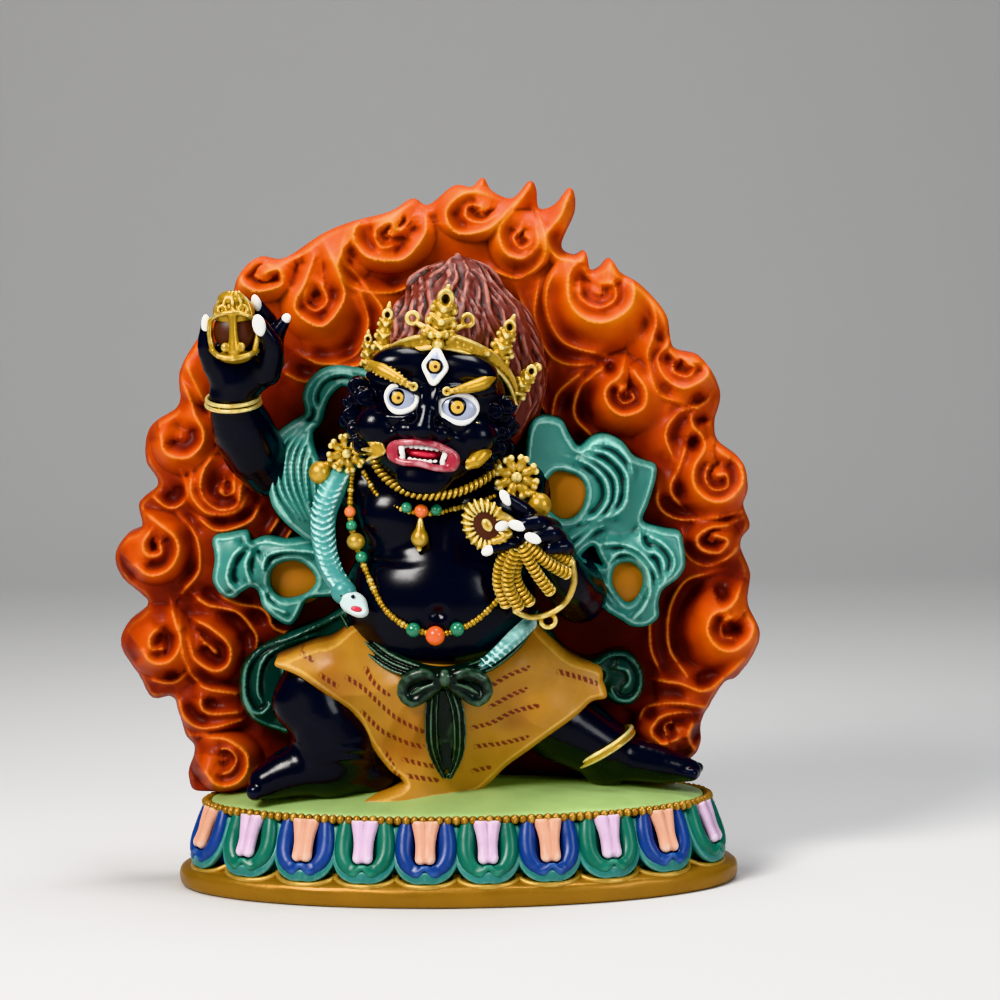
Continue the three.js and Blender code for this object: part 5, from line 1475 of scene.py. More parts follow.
# %% Head and face
face = Clay((-25, -29, 78), (17, 5, 120), 0.3)
face.add(head_ball((1.6, -0.5, 3.0), (14.6, 12.2, 12.2)), 0)
face.add(head_ball((1.2, -2.4, -7.6), (12.2, 11.4, 10.8)), 4)
face.add(head_ball((1.0, -1.6, 8.2), (12.4, 10.3, 8.8)), 4)
for side in (-1, 1):
    face.add(head_ball((6.8 * side + 0.4, -8.8, 9.6), (6.4, 4.2, 3.6), 10 * side), 1.4)
    face.add(head_rod([(12.6 * side, -8.0, 6.2), (9.4 * side, -10.6, 5.6), (5.2 * side, -12.6, 5.6), (2.4 * side, -13.2, 4.6)],
                      [0.9, 1.2, 1.3, 1.1]), 0.8)
    face.add(head_ball((9.8 * side, -8.8, -3.8), (4.7, 4.2, 4.3)), 1.2)
    face.add(head_ball((3.3 * side - 0.4, -13.2, -3.6), (2.4, 2.0, 1.9)), 0.8)
    face.add(head_rod([(5.0 * side, -12.6, -4.0), (8.4 * side, -11.2, -6.0), (9.4 * side, -10.0, -10.0)], [0.8, 1.1, 0.7]), 1.0)
    face.add(head_rod([(2.2 * side, -12.8, 0.2), (4.6 * side, -12.8, -1.3), (8.8 * side, -11.0, -1.5), (11.4 * side, -8.6, 0.6)],
                      [0.5, 0.9, 0.9, 0.5]), 0.5)
    face.add(head_rod([(3.4 * side, -12.8, -1.6), (6.4 * side, -11.8, -2.8), (9.4 * side, -10.4, -2.6)], [0.5, 0.7, 0.4]), 0.4)
    face.add(head_rod([(1.2 * side, -13.4, 5.6), (1.4 * side, -14.0, 2.4), (2.0 * side, -13.8, 0.2)], [0.4, 0.7, 0.4]), 0.5)
    face.cut(head_ball((2.2 * side - 0.4, -15.2, -5.0), (0.8, 1.2, 0.7)), 0.5)
face.add(head_rod([(0, -12.6, 4.0), (-0.2, -13.8, 0.4), (-0.4, -14.4, -2.6)], [1.3, 1.7, 2.3]), 1.0)
face.add(head_ball((-0.6, -14.4, -3.2), (2.7, 2.1, 2.1)), 0.8)
face.add(head_ball((0.6, -10.8, -14.0), (5.4, 3.0, 3.2)), 2.0)
face.cut(head_ball((0, -15.0, -8.0), (5.6, 5.0, 2.2)), 0.8)
CURL_SPOTS = [(-15.2, -4.6, 3.6), (-15.8, -4.4, 0.4), (-15.6, -5.0, -2.8), (-14.6, -6.2, -5.6), (-13.2, -7.0, -8.2),
              (-13.4, -6.8, 1.6), (16.0, -5.6, 3.0), (16.4, -5.0, 0.2), (15.8, -5.4, -3.0), (14.8, -6.2, -6.0),
              (13.4, -7.0, -8.6), (13.6, -7.6, 1.4), (13.2, -8.2, -2.6), (12.2, -8.0, -6.0), (-12.6, -8.0, -4.0),
              (17.2, -2.6, -2.0), (17.0, -2.4, -6.0), (15.6, -3.4, -9.4), (-16.6, -2.4, -4.2), (-15.4, -3.0, -8.0)]
curl_dice = np.random.default_rng(5)
for spot in CURL_SPOTS:
    begin = curl_dice.uniform(0, 2 * math.pi)
    sense = curl_dice.choice((-1, 1))
    arc = [(spot[0] + r * math.cos(begin + sense * a), spot[1] - 0.7, spot[2] + r * math.sin(begin + sense * a))
           for a, r in zip(np.linspace(0, 8.4, 11), np.linspace(1.75, 0.3, 11))]
    face.add(head_ball((spot[0] * 0.97, spot[1] + 0.7, spot[2]), (2.1, 1.9, 2.1)), 0.5)
    face.add(head_rod(arc, [0.5, 0.55, 0.6], 0.5), 0.2)
keep(face.mesh("head", NAVY, smooth=2), "figure")

# %% [markdown]
# Each eye is a pale ball with a thick white lid line round it, and on the ball lie a dark ring,
# a gold iris and a pupil. They are pieces of their own, because an edge between two paints is
# sharper as an edge of a piece than as a painted border.

# %% Eyes
EYE_GREY = paint("eye_grey", colour(164, 172, 194), colour(60, 66, 92), colour(236, 238, 244), roughness=0.25,
                 wash_and_shade_amount=0.9, unevenness=0.05, bump=0.05, coat=0.4)
EYES = [((-5.5, -12.3, 2.6), 3.2, 2.8, (-0.9, 0.1), 1.8), ((6.0, -12.2, 1.8), 3.9, 2.9, (-0.1, 0.3), 2.0),
        ((0.5, -12.9, 9.8), 2.2, 2.5, (-0.1, 0.1), 1.7)]
lids = Clay((-18, -28, 98), (9, -18, 119), 0.24)
whites = Clay((-18, -28, 98), (9, -18, 119), 0.26)
rings = Clay((-18, -29, 98), (9, -18, 119), 0.22)
irises = Clay((-18, -29, 98), (9, -18, 119), 0.22)
pupils = Clay((-18, -29, 98), (9, -18, 119), 0.2)
for (x, y, z), wide, tall, (right, up), across in EYES:
    if z > 8:
        loop = [(x, y - 0.1, z + tall + 0.9), (x + 0.6 * wide, y - 0.4, z + 0.68 * tall), (x + wide, y - 0.1, z), (x + 0.62 * wide, y - 0.6, z - 0.66 * tall),
                (x, y - 0.6, z - tall - 0.9), (x - 0.62 * wide, y - 0.6, z - 0.66 * tall), (x - wide, y - 0.1, z), (x - 0.6 * wide, y - 0.4, z + 0.68 * tall)]
    else:
        outer = -1 if x < 0 else 1
        loop = [(x, y - 0.6, z + tall), (x + outer * 0.72 * wide, y - 0.1, z + 0.75 * tall), (x + outer * wide, y + 0.7, z),
                (x + outer * 0.6 * wide, y + 0.1, z - 0.85 * tall), (x, y - 0.7, z - tall),
                (x - outer * 0.75 * wide, y - 0.7, z - 0.6 * tall), (x - outer * wide, y - 0.4, z + 0.2),
                (x - outer * 0.7 * wide, y - 0.6, z + 0.75 * tall)]
    line = smooth_line(on_head(*loop), 0.5, closed=True)
    lids.add(rod(np.vstack([line, line[:1]]), 0.6, straight=True), 0)
    whites.add(head_ball((x, y + 0.3, z), (wide, 1.5, tall)), 0)
    if z > 8:
        whites.add(head_ball((x, y + 0.2, z + 1.8), (1.1, 1.2, 1.9)), 0.3)
        whites.add(head_ball((x, y + 0.2, z - 1.8), (1.1, 1.2, 1.9)), 0.3)
    rings.add(head_ball((x + right, y - 0.75, z + up), (across, 0.72, across)), 0)
    irises.add(head_ball((x + right, y - 0.92, z + up), (across * 0.78, 0.72, across * 0.78)), 0)
    pupils.add(head_ball((x + right + 0.15, y - 1.36, z + up), (0.52, 0.42, 0.52)), 0)
keep(lids.mesh("eye_lids", WHITE), "figure")
keep(whites.mesh("eye_whites", EYE_GREY), "figure")
keep(rings.mesh("eye_rings", NAVY), "figure")
IRIS_GOLD = paint("iris_gold", colour(222, 178, 70), colour(120, 70, 10), colour(250, 224, 140), roughness=0.3, coat=0.4)
keep(irises.mesh("irises", IRIS_GOLD), "figure")
keep(pupils.mesh("pupils", DARK_BROWN), "figure")

# %% Mouth
# The lips' near-white edge colour, laid on strongly, is painted highlight.
PINK = paint("mouth_pink", colour(160, 50, 64), colour(90, 10, 22), colour(250, 214, 218), roughness=0.3,
             wash_and_shade_amount=0.7, edge_amount=0.9, coat=0.3, bump=0.1)
TONGUE_RED = paint("mouth_red", colour(190, 18, 46), colour(80, 4, 12), colour(226, 80, 96), roughness=0.3, coat=0.3)
lips = Clay((-17, -29, 85), (7, -16, 101), 0.24)
lip_loop = [(-6.4, -12.2, -7.2), (-3.8, -13.6, -6.2), (0.2, -14.2, -5.7), (3.4, -13.9, -6.3), (6.5, -13.0, -7.9),
            (6.3, -12.9, -10.3), (3.0, -13.6, -10.7), (-0.6, -13.9, -10.2), (-3.8, -13.3, -10.3), (-6.2, -12.0, -9.6)]
lip_line = smooth_line(on_head(*lip_loop), 0.5, closed=True)
lips.add(rod(np.vstack([lip_line, lip_line[:1]]), 0.72, straight=True), 0)
for x, y, z in ((-6.1, -12.2, -8.4), (6.1, -12.9, -9.1)):
    lips.add(head_ball((x, y, z), (1.3, 1.0, 1.7)), 0.8)
keep(lips.mesh("lips", PINK), "figure")
teeth = Clay((-17, -28, 85), (7, -14, 101), 0.22)
for k in range(8):
    x = -3.7 + 1.06 * k
    bow = 0.1 * (k - 3.5) ** 2
    teeth.add(head_ball((x, -13.2 + bow, -6.8 - 0.12 * bow), (0.6, 0.6, 0.62)), 0.1)
    teeth.add(head_ball((x, -12.9 + bow, -9.7 + 0.12 * bow), (0.56, 0.6, 0.5)), 0.1)
for x in (-4.5, 4.5):
    teeth.add(head_rod([(x, -12.8, -7.0), (x * 0.98, -13.4, -8.5)], [0.8, 0.45]), 0.2)
    teeth.add(head_rod([(x * 0.93, -12.7, -9.9), (x * 0.9, -13.2, -8.4)], [0.75, 0.4]), 0.2)
keep(teeth.mesh("teeth", WHITE), "figure")
tongue = Clay((-15, -27, 86), (5, -10, 100), 0.3)
tongue.add(head_ball((0, -9.9, -8.0), (5.2, 1.8, 2.2)), 0)
tongue.add(head_ball((0, -11.6, -8.3), (2.9, 1.4, 0.8)), 0.5)
keep(tongue.mesh("tongue", TONGUE_RED), "figure")

# %% Brows and beard tufts
brows = Clay((-22, -28, 86), (10, -12, 118), 0.22)


def leaf_row(line, sizes, lean, count):
    """A leaf of slanting ribs along a line."""
    path = smooth_line(line, 0.2)
    for k in range(count):
        spot = path[int((len(path) - 1) * (k + 0.5) / count)]
        reach = np.interp(k / (count - 1), np.linspace(0, 1, len(sizes)), sizes)
        slant = np.array(lean, float) * reach
        middle = spot + (0, -0.55 * reach, 0)
        brows.add(head_rod([spot - slant, middle, spot + slant], [0.28, 0.4, 0.28], 0.5), 0.1)
    brows.add(head_rod(line, np.array(sizes) * 0.8), 0.2)


leaf_row([(-13.0, -9.8, 8.8), (-9.8, -12.4, 7.8), (-6.4, -14.2, 6.5), (-4.0, -14.9, 5.4)], [0.9, 1.7, 1.3, 0.6], (0.6, 0.1, 0.7), 10)
leaf_row([(4.2, -15.0, 5.3), (7.2, -14.2, 6.2), (10.2, -12.2, 7.3), (13.0, -9.6, 9.0)], [0.6, 1.4, 1.9, 0.5], (0.7, 0.1, 0.7), 11)
for x, z in ((-3.4, 5.4), (3.4, 5.2)):
    brows.add(hoop(on_head((x, -15.0, z)), (0.6, 0.6), 0.38), 0.2)
for reach, points in ((1.0, [(-7.9, -11.8, -8.6), (-9.0, -11.4, -7.2), (-8.9, -10.8, -6.0)]), (1.0, [(-8.0, -11.8, -8.6), (-9.8, -11.2, -7.0), (-10.6, -10.0, -5.2)]),
                      (1.0, [(-8.1, -11.8, -8.8), (-10.4, -11.0, -7.6), (-12.2, -9.4, -6.2)]), (0.9, [(-8.2, -11.8, -9.0), (-10.6, -10.8, -8.8), (-12.6, -9.2, -9.0)]),
                      (0.8, [(-8.2, -11.6, -9.2), (-10.0, -10.8, -10.0), (-11.4, -9.6, -11.2)])):
    brows.add(head_rod(points, np.array([0.4, 0.75, 0.3]) * reach), 0.2)
leaf_row([(12.5, -9.8, -5.8), (11.9, -10.6, -7.2), (10.8, -11.4, -8.6), (9.4, -11.8, -10.0)], [1.0, 2.0, 1.9, 0.7], (1.0, 0.3, 0.15), 8)
brows.add(head_rod([(10.2, -11.6, -0.8), (12.0, -10.6, -2.1), (13.0, -9.6, -3.9), (12.8, -9.6, -5.8)], [0.28, 0.4, 0.42, 0.5]), 0.2)
keep(brows.mesh("brows_and_tufts", GOLD, share=0.6, times=5, depth=0.07), "figure")

# %% [markdown]
# ## Hair
# The hair stands up like flames and runs together in a point behind the crown. Its strands are
# thin rods that rise from the rim of the head to the point, each with a wobble of its own from a
# seeded generator, over a smooth cone that closes the gaps.

# %% Hair
HAIR = paint("hair_red", colour(98, 40, 32), colour(30, 8, 6), colour(176, 116, 102), roughness=0.5,
             wash_and_shade_amount=1.0, edge_amount=0.7, bump=0.4)
HAIR_TIP = (1.5, 133.0)
HAIR_LEFT = [HAIR_TIP, (-3.0, 131.4), (-7.6, 128.6), (-10.6, 122.0), (-12.6, 115.0), (-14.0, 108.0)]
HAIR_RIGHT = [HAIR_TIP, (7.6, 130.0), (14.0, 121.4), (17.8, 113.6), (19.4, 104.0), (18.4, 97.0), (16.2, 89.6)]
hair = Clay((-23, -21, 84), (25, 6.2, 137), 0.36)
hair.add(ball((1.0, -2.5, 112), (13.6, 10.5, 19.0)), 0)
hair.add(ball((8.8, -3.0, 107), (10.4, 8.6, 16.8), (0, 6, 0)), 4)
hair.add(ball((-3, -9, 115.6), (12.5, 9.6, 9.4)), 4)
hair.add(rod([(1.6, -2, 124), (1.6, -1.8, 129), (*HAIR_TIP[:1], -1.6, HAIR_TIP[1] - 0.4)], [7.2, 3.8, 0.9]), 3)
hair_skins = [hair.skin(), hair.skin(far=True)]
side_skins = [hair.skin(axis=0), hair.skin(axis=0, far=True)]
strand_dice = np.random.default_rng(11)
edge_lines = [smooth_line(side, 0.5) for side in (HAIR_LEFT, HAIR_RIGHT)]
FRONT_STRANDS = 64
REAR_STRANDS = 34
for k in range(FRONT_STRANDS + REAR_STRANDS):
    rear = k >= FRONT_STRANDS
    share = (k + strand_dice.uniform(0.1, 0.9)) / FRONT_STRANDS
    if rear:
        share = (k - FRONT_STRANDS + 0.5) / REAR_STRANDS
    begin, end = sorted(strand_dice.uniform(0, 1, 2))
    begin, end = 0.9 * begin, 0.4 + 0.6 * end
    turn = strand_dice.uniform(0, 2 * math.pi)
    lift = strand_dice.uniform(-0.5, 0.35) * (-1 if rear else 1)
    line = []
    for t in np.linspace(begin, max(end, begin + 0.25), 20):
        spots = [side[min(int(t * (len(side) - 1)), len(side) - 1)] for side in edge_lines]
        x, z = (1 - share) * spots[0] + share * spots[1]
        x += 0.75 * math.sin(20 * t + turn) * min(1, 4 * t)
        i, j = (int(round((v - low) / hair.cell)) for v, low in ((x, hair.low[0]), (z, hair.low[2])))
        skin = hair_skins[rear]
        y = skin[min(max(i, 0), skin.shape[0] - 1), min(max(j, 0), skin.shape[1] - 1)]
        line.append((x, -2.0 if np.isnan(y) else min(y + lift, 5.2), z))
    size = strand_dice.uniform(0.45, 0.85)
    hair.add(rod(line, [0.3 * size, size, size, size, 0.4 * size], 1.0), 0.12)
SIDE_STRANDS = 11
for side_skin in side_skins:
    for k in range(SIDE_STRANDS):
        depth_in = -6.5 + 11.5 * k / (SIDE_STRANDS - 1)
        turn = strand_dice.uniform(0, 2 * math.pi)
        foot_z = strand_dice.uniform(90, 102)
        line = []
        for z in np.linspace(strand_dice.uniform(120, 130), foot_z, 22):
            y = depth_in * min(1, (HAIR_TIP[1] - z) / 14) + 0.6 * math.sin(0.5 * z + turn)
            i, j = (int(round((v - low) / hair.cell)) for v, low in ((y, hair.low[1]), (z, hair.low[2])))
            x = side_skin[min(max(i, 0), side_skin.shape[0] - 1), min(max(j, 0), side_skin.shape[1] - 1)]
            if not np.isnan(x):
                line.append((x, min(y, 5.2), z))
        size = strand_dice.uniform(0.5, 0.85)
        if len(line) > 4:
            hair.add(rod(line, [0.3 * size, size, size, size, 0.4 * size], 1.0), 0.12)
keep(hair.mesh("hair", HAIR, smooth=1, share=0.5, times=5, depth=0.07), "figure")

# %% [markdown]
# ## The crown
# A gold band runs round the brow, between two thin rims. On it stand five leaves, each of
# beads, curls and a pierced tip. They are small rods and rings pressed together.


# %% Crown
def crown_leaf(clay, foot, tip, width, lobes=3):
    """A solid pointed leaf: a thick middle, lobes in pairs, slanting ribs and a pierced knob near the tip."""
    foot, tip = np.array(foot, float), np.array(tip, float)
    rise = tip - foot
    side = np.cross(rise / np.linalg.norm(rise), (0, -1, 0))
    clay.add(rod([foot, foot + 0.4 * rise, foot + 0.7 * rise, tip],
                 np.array([0.36, 0.46, 0.4, 0.1]) * width), 0.2)
    for k in range(lobes):
        share = 0.72 * (k + 0.35) / lobes
        for sign in (-1, 1):
            spot = foot + share * rise + sign * (0.54 - 0.26 * share) * width * side
            clay.add(ball(spot + (0, -0.12 * width, 0), (0.23 - 0.08 * share) * width), 0.12)
            clay.add(rod([foot + share * rise + (0, -0.46 * width, 0), spot + 0.1 * rise + (0, -0.2 * width, 0)],
                         [0.15 * width, 0.11 * width]), 0.08)
    knob = foot + 0.76 * rise + (0, -0.34 * width, 0)
    clay.add(hoop(knob, (0.24 * width, 0.3 * width), 0.13 * width), 0.1)
    clay.cut(ball(knob + (0, -0.1 * width, 0), (0.16 * width, 0.3 * width, 0.2 * width)), 0.1)


CROWN_LINE = [(-17.0, -9.0, 107.6), (-14.4, -14.4, 111.6), (-11.0, -18.4, 114.2), (-7.2, -20.6, 115.6),
              (-2.4, -21.8, 116.2), (1.6, -21.4, 115.6), (6.0, -19.4, 113.6), (9.6, -16.6, 111.0),
              (12.0, -13.8, 107.7), (13.4, -10.6, 103.2)]
crown = Clay((-24, -25, 98), (24, -3, 132), 0.25)
crown.add(strap(CROWN_LINE, [1.0, 1.3, 1.5, 1.6, 1.7, 1.6, 1.5, 1.4, 1.2, 1.0], 0.8, facing=(0, -1, 0.1)), 0)
for lift, thick in ((-1.3, 0.5), (1.3, 0.55)):
    crown.add(rod([(x, y - 0.6, z + lift) for x, y, z in CROWN_LINE], thick), 0.15)
CROWN_LEAVES = [((-2.5, -21.4, 116.6), (-0.2, -18.8, 127.2), 5.2, 3), ((-14.2, -15.6, 113.6), (-12.4, -14.4, 123.8), 3.3, 3),
                ((-17.2, -11.2, 110.4), (-17.0, -10.6, 118.0), 2.5, 3), ((9.2, -15.2, 111.2), (13.2, -13.6, 120.8), 3.8, 3),
                ((12.9, -11.2, 104.2), (17.8, -9.8, 110.6), 3.4, 3)]
for foot, tip, width, lobes in CROWN_LEAVES:
    crown_leaf(crown, foot, tip, width, lobes)
for curl, stem in (((-7.6, -19.2, 120.8), [(-6.7, -19.4, 119.8), (-5.0, -20.2, 118.8), (-3.2, -20.8, 118.2)]),
                   ((3.6, -19.0, 120.2), [(2.8, -19.2, 119.2), (0.8, -20.0, 118.4), (-1.4, -20.8, 117.8)])):
    crown.add(hoop(curl, (1.15, 1.15), 0.52), 0.15)
    crown.add(rod(stem, [0.5, 0.7, 0.9]), 0.3)
for x, y, z, size in ((-3.6, -23.0, 117.6, 1.0), (-1.0, -22.8, 117.6, 1.0), (-2.4, -23.2, 115.6, 1.3), (-12.4, -17.8, 114.4, 0.9),
                      (7.4, -19.2, 113.4, 0.9), (18.0, -10.4, 109.8, 0.9), (12.4, -14.4, 112.6, 0.8), (-16.4, -13.2, 110.6, 0.8)):
    crown.add(ball((x, y, z), size), 0.12)
for share in np.linspace(0.04, 0.96, 26):
    spot = smooth_line(CROWN_LINE, 0.3)
    x, y, z = spot[int(share * (len(spot) - 1))]
    crown.add(ball((x, y - 0.6, z), (0.42, 0.4, 0.6)), 0.1)
keep(crown.mesh("crown", GOLD, smooth=1, share=0.6, times=5, depth=0.07), "figure")


# %% Ear flowers and drops
def ear_flower(clay, at, radius, lean):
    """Eight rounded petals round a button."""
    at = np.array(at, float)
    for k in range(8):
        a = math.radians(45 * k + lean)
        out = np.array((math.cos(a), 0, math.sin(a)))
        across = np.array((-math.sin(a), 0, math.cos(a)))
        clay.add(ball(at + 0.62 * radius * out, (0.4 * radius, 0.8, 0.22 * radius), (0, -45 * k - lean, 0)), 0.1)
        for sign in (-1, 1):
            clay.add(ball(at + 0.92 * radius * out + sign * 0.13 * radius * across + (0, -0.3, 0),
                          (0.17 * radius, 0.7, 0.17 * radius)), 0.1)
        clay.cut(rod([at + 0.4 * radius * out + (0, -1.1, 0), at + 0.95 * radius * out + (0, -1.2, 0)], 0.3), 0.15)
    clay.add(ball(at + (0, 0.5, 0), (0.6 * radius, 0.8, 0.6 * radius)), 0.2)
    clay.add(ball(at + (0, -0.9, 0), (0.26 * radius, 0.8, 0.26 * radius)), 0.2)


ears = Clay((-34, -22, 76), (24, -8, 98), 0.27)
ear_flower(ears, (-21.7, -14.6, 92.8), 3.9, 10)
ear_flower(ears, (13.3, -17.8, 87.8), 4.4, 24)
ears.add(rod([(-23, -14.2, 91.6), (-25.6, -13.8, 90.4)], 0.9), 0.3)
ears.add(ball((-27.4, -13.8, 88.8), (2.3, 2.2, 2.4)), 0.3)
ears.add(rod([(15, -17.4, 85.6), (16.8, -17.4, 84.0)], 0.9), 0.3)
ears.add(ball((18.0, -17.4, 81.8), (2.4, 2.3, 2.6)), 0.3)
ears.add(ball((17.8, -18.2, 79.2), (1.3, 1.2, 1.0)), 0.3)
keep(ears.mesh("ear_flowers", GOLD, smooth=1, times=5, depth=0.07), "figure")

# %% [markdown]
# ## Necklaces
# A thick twisted necklace lies on the collar, a fine one with a pear drop below it, and a long
# one hangs over the belly. The beads are rows on the same node tree, and the few large coloured
# beads are pressed one by one.

# %% Necklaces
BEAD_ORANGE = paint("bead_orange", colour(232, 96, 34), colour(110, 24, 4), colour(255, 170, 110), roughness=0.25, coat=0.5)
BEAD_GREEN = paint("bead_green", colour(22, 104, 74), colour(4, 30, 22), colour(90, 180, 140), roughness=0.25, coat=0.5)
COLLAR_LINE = [(-16.5, -15.2, 92.6), (-15.2, -18.0, 89.9), (-12.9, -20.0, 87.5), (-9.6, -21.8, 85.6), (-5.9, -22.8, 84.7),
               (-1.6, -22.8, 84.7), (2.8, -21.6, 85.7), (7.2, -19.0, 87.9), (9.6, -17.0, 90.4)]
FINE_LINE = [(-18.3, -13.4, 88.7), (-15.7, -16.2, 84.5), (-13.1, -17.6, 82.8), (-10.5, -18.6, 81.5), (-6.8, -19.3, 80.7), (-3.1, -19.5, 80.7),
             (0.5, -19.4, 81.6), (4.2, -18.8, 82.4), (8.6, -17.4, 83.8)]
LONG_LINE = [(-20.8, -13.6, 88.4), (-21.2, -15.4, 80.6), (-20.2, -16.6, 74.6), (-17.6, -18.8, 67.8), (-14.7, -20.9, 61.9), (-11.2, -22.6, 58.6),
             (-7.6, -23.5, 57.0), (-3.6, -23.7, 56.2), (0.4, -23.4, 56.8), (4.4, -22.3, 58.6), (8.2, -20.9, 61.8), (11.0, -19.4, 65.0)]
COLLAR_RIB = small_ball("collar_rib", 1.0, rings=6, sides=8, squash=(0.5, 1.0, 1.1))
COLLAR_RIB.data.transform(Matrix.Rotation(math.radians(34), 4, "Y"))
SMALL_BEAD = small_ball("small_bead", 1.0, rings=4, sides=6)
keep(row_along("collar", smooth_line(COLLAR_LINE), COLLAR_RIB, 30, GOLD, size=1.05, upright=False), "figure")
keep(row_along("fine_necklace", smooth_line(FINE_LINE), SMALL_BEAD, 38, GOLD, size=0.56, change=0.1, upright=False), "figure")
keep(row_along("long_necklace", smooth_line(LONG_LINE), SMALL_BEAD, 72, GOLD, size=0.66, change=0.12, upright=False), "figure")


def big_beads(name, spots, material):
    """Some larger beads as one piece."""
    spots = [(np.array(at, float), size) for at, size in spots]
    low = np.min([at - size for at, size in spots], 0) - 1
    high = np.max([at + size for at, size in spots], 0) + 1
    clay = Clay(low, high, 0.28)
    for at, size in spots:
        clay.add(ball(at, size), 0)
    keep(clay.mesh(name, material, smooth=1), "figure")


big_beads("orange_beads", [((-3.8, -24.6, 56.0), 2.0), ((-6.4, -19.9, 81.2), 1.45), ((-21.2, -16.0, 80.8), 1.2)], BEAD_ORANGE)
big_beads("green_beads", [((-8.3, -24.2, 57.2), 1.5), ((0.7, -24.2, 57.2), 1.5), ((-9.4, -19.4, 81.9), 1.15), ((-3.3, -19.7, 81.4), 1.2),
                          ((-20.9, -16.6, 78.0), 1.15), ((-18.9, -17.9, 71.6), 1.25)], BEAD_GREEN)
drops = Clay((-24, -24, 68), (-3, -13, 82), 0.26)
drops.add(ball((-6.8, -20.2, 75.6), (1.8, 1.7, 1.9)), 0)
drops.add(rod([(-6.7, -20.2, 76.6), (-6.6, -20.0, 79.4)], [1.2, 0.5]), 0.5)
drops.add(ball((-6.9, -20.4, 73.4), (0.6, 0.6, 0.6)), 0.2)
drops.add(ball((-20.0, -17.6, 74.8), (1.9, 1.7, 1.8)), 0)
keep(drops.mesh("gold_drops", GOLD, smooth=1), "figure")

# %% [markdown]
# ## The snake
# A snake hangs round the neck. It shows as a thick scaled band at the left of the chest that
# ends in a small pale head, and its tail lies across the belt on the right. The scales are two
# sets of slanting ridges pressed on the body, and its paint is darker in the grooves between them.


# %% Snake
SNAKE = paint("snake_teal", colour(72, 142, 138), colour(10, 48, 52), colour(196, 228, 224), roughness=0.34,
              wash_and_shade_amount=1.0, edge_amount=0.95, bump=0.5)
snake = Clay((-33, -24, 46), (21, 6, 98), 0.34)
snake_line = [(-10, 2.4, 92), (-15.6, -1.0, 94), (-20.0, -7.0, 92.4), (-23.6, -12.4, 87.6), (-26.6, -14.6, 80.6), (-26.6, -15.8, 74), (-25.0, -17.4, 68.4), (-22.4, -19.2, 64.8)]
SNAKE_GIRTH = [2.0, 2.3, 2.5, 2.7, 2.8, 2.6, 2.4, 2.2]
snake.add(rod(snake_line, SNAKE_GIRTH), 0)
scale_spots = smooth_line(snake_line, 1.2)
for (x, y, z), r in list(zip(scale_spots, read_along(SNAKE_GIRTH, len(scale_spots))))[10:-1]:
    for side in (-1, 1):
        snake.add(rod([(x + 0.1 * side, y - r, z - 0.5), (x + 0.55 * side * r, y - 0.86 * r, z + 0.1),
                       (x + 0.95 * side * r, y - 0.4 * r, z + 1.1)], [0.34, 0.36, 0.2], 0.6), 0.1)
tail_line = [(4.6, -20.6, 48.4), (8.6, -20.8, 51.4), (12.4, -19.2, 54.6), (15.6, -16.6, 57.2)]
snake.add(rod(tail_line, [0.8, 1.4, 1.7, 1.6]), 0)
for x, y, z in smooth_line(tail_line, 1.1)[2:]:
    for sign in (-1, 1):
        snake.add(rod([(x - 1.0, y - 0.9, z - 0.8 * sign), (x, y - 1.5, z), (x + 1.0, y - 0.9, z + 0.8 * sign)], 0.24, 0.6), 0.1)
keep(snake.mesh("snake", SNAKE, smooth=1, share=0.7, times=5, depth=0.06), "figure")
SNAKE_PALE = paint("snake_pale", colour(206, 222, 222), colour(60, 120, 118), colour(250, 250, 250), roughness=0.3,
                   wash_and_shade_amount=0.8, unevenness=0.1, bump=0.2)
snake_head = Clay((-29, -26, 56), (-14, -13, 70), 0.26)
snake_head.add(ball((-22.6, -19.8, 64.6), (2.7, 2.3, 2.6), (0, 30, 0)), 0)
keep(snake_head.mesh("snake_head", SNAKE, smooth=1), "figure")
snake_jaw = Clay((-29, -26, 56), (-14, -13, 70), 0.26)
snake_jaw.add(ball((-20.6, -20.6, 62.4), (3.0, 2.1, 2.4), (0, 24, 0)), 0)
snake_jaw.add(ball((-19.4, -21.4, 61.0), (2.0, 1.5, 1.5), (0, 16, 0)), 0.8)
snake_jaw.add(ball((-21.6, -21.6, 63.8), (1.3, 0.9, 0.9)), 0.6)
snake_jaw.cut(ball((-19.8, -23.4, 61.4), (1.6, 1.4, 0.7), (0, 12, 0)), 0.3)
keep(snake_jaw.mesh("snake_jaw", SNAKE_PALE, smooth=1), "figure")
snake_eyes = Clay((-26, -25, 62), (-17, -19, 68), 0.2)
for x, y, z in ((-23.0, -21.7, 64.2), (-20.6, -22.5, 64.0)):
    snake_eyes.add(ball((x, y, z), (0.45, 0.4, 0.45)), 0)
keep(snake_eyes.mesh("snake_eyes", NAVY), "figure")
snake_mouth = Clay((-23, -24, 59), (-16, -19, 64), 0.3)
snake_mouth.add(ball((-20.0, -22.2, 61.4), (1.3, 0.8, 0.6), (0, 12, 0)), 0)
keep(snake_mouth.mesh("snake_mouth", TONGUE_RED, smooth=1), "figure")

# %% [markdown]
# ## The skirt
# The skirt is a tiger skin: yellow ochre with rows of red-brown dashes. It hangs over both thighs
# like thick cloth, so it is a carved plate like the flames, but its front is bent. A thin plate,
# the smooth surface that bends least, is laid through a few dozen depths on the knees, the hem
# and the lap. Folds fan out from the bow, and the dashes follow short rows over the cloth.


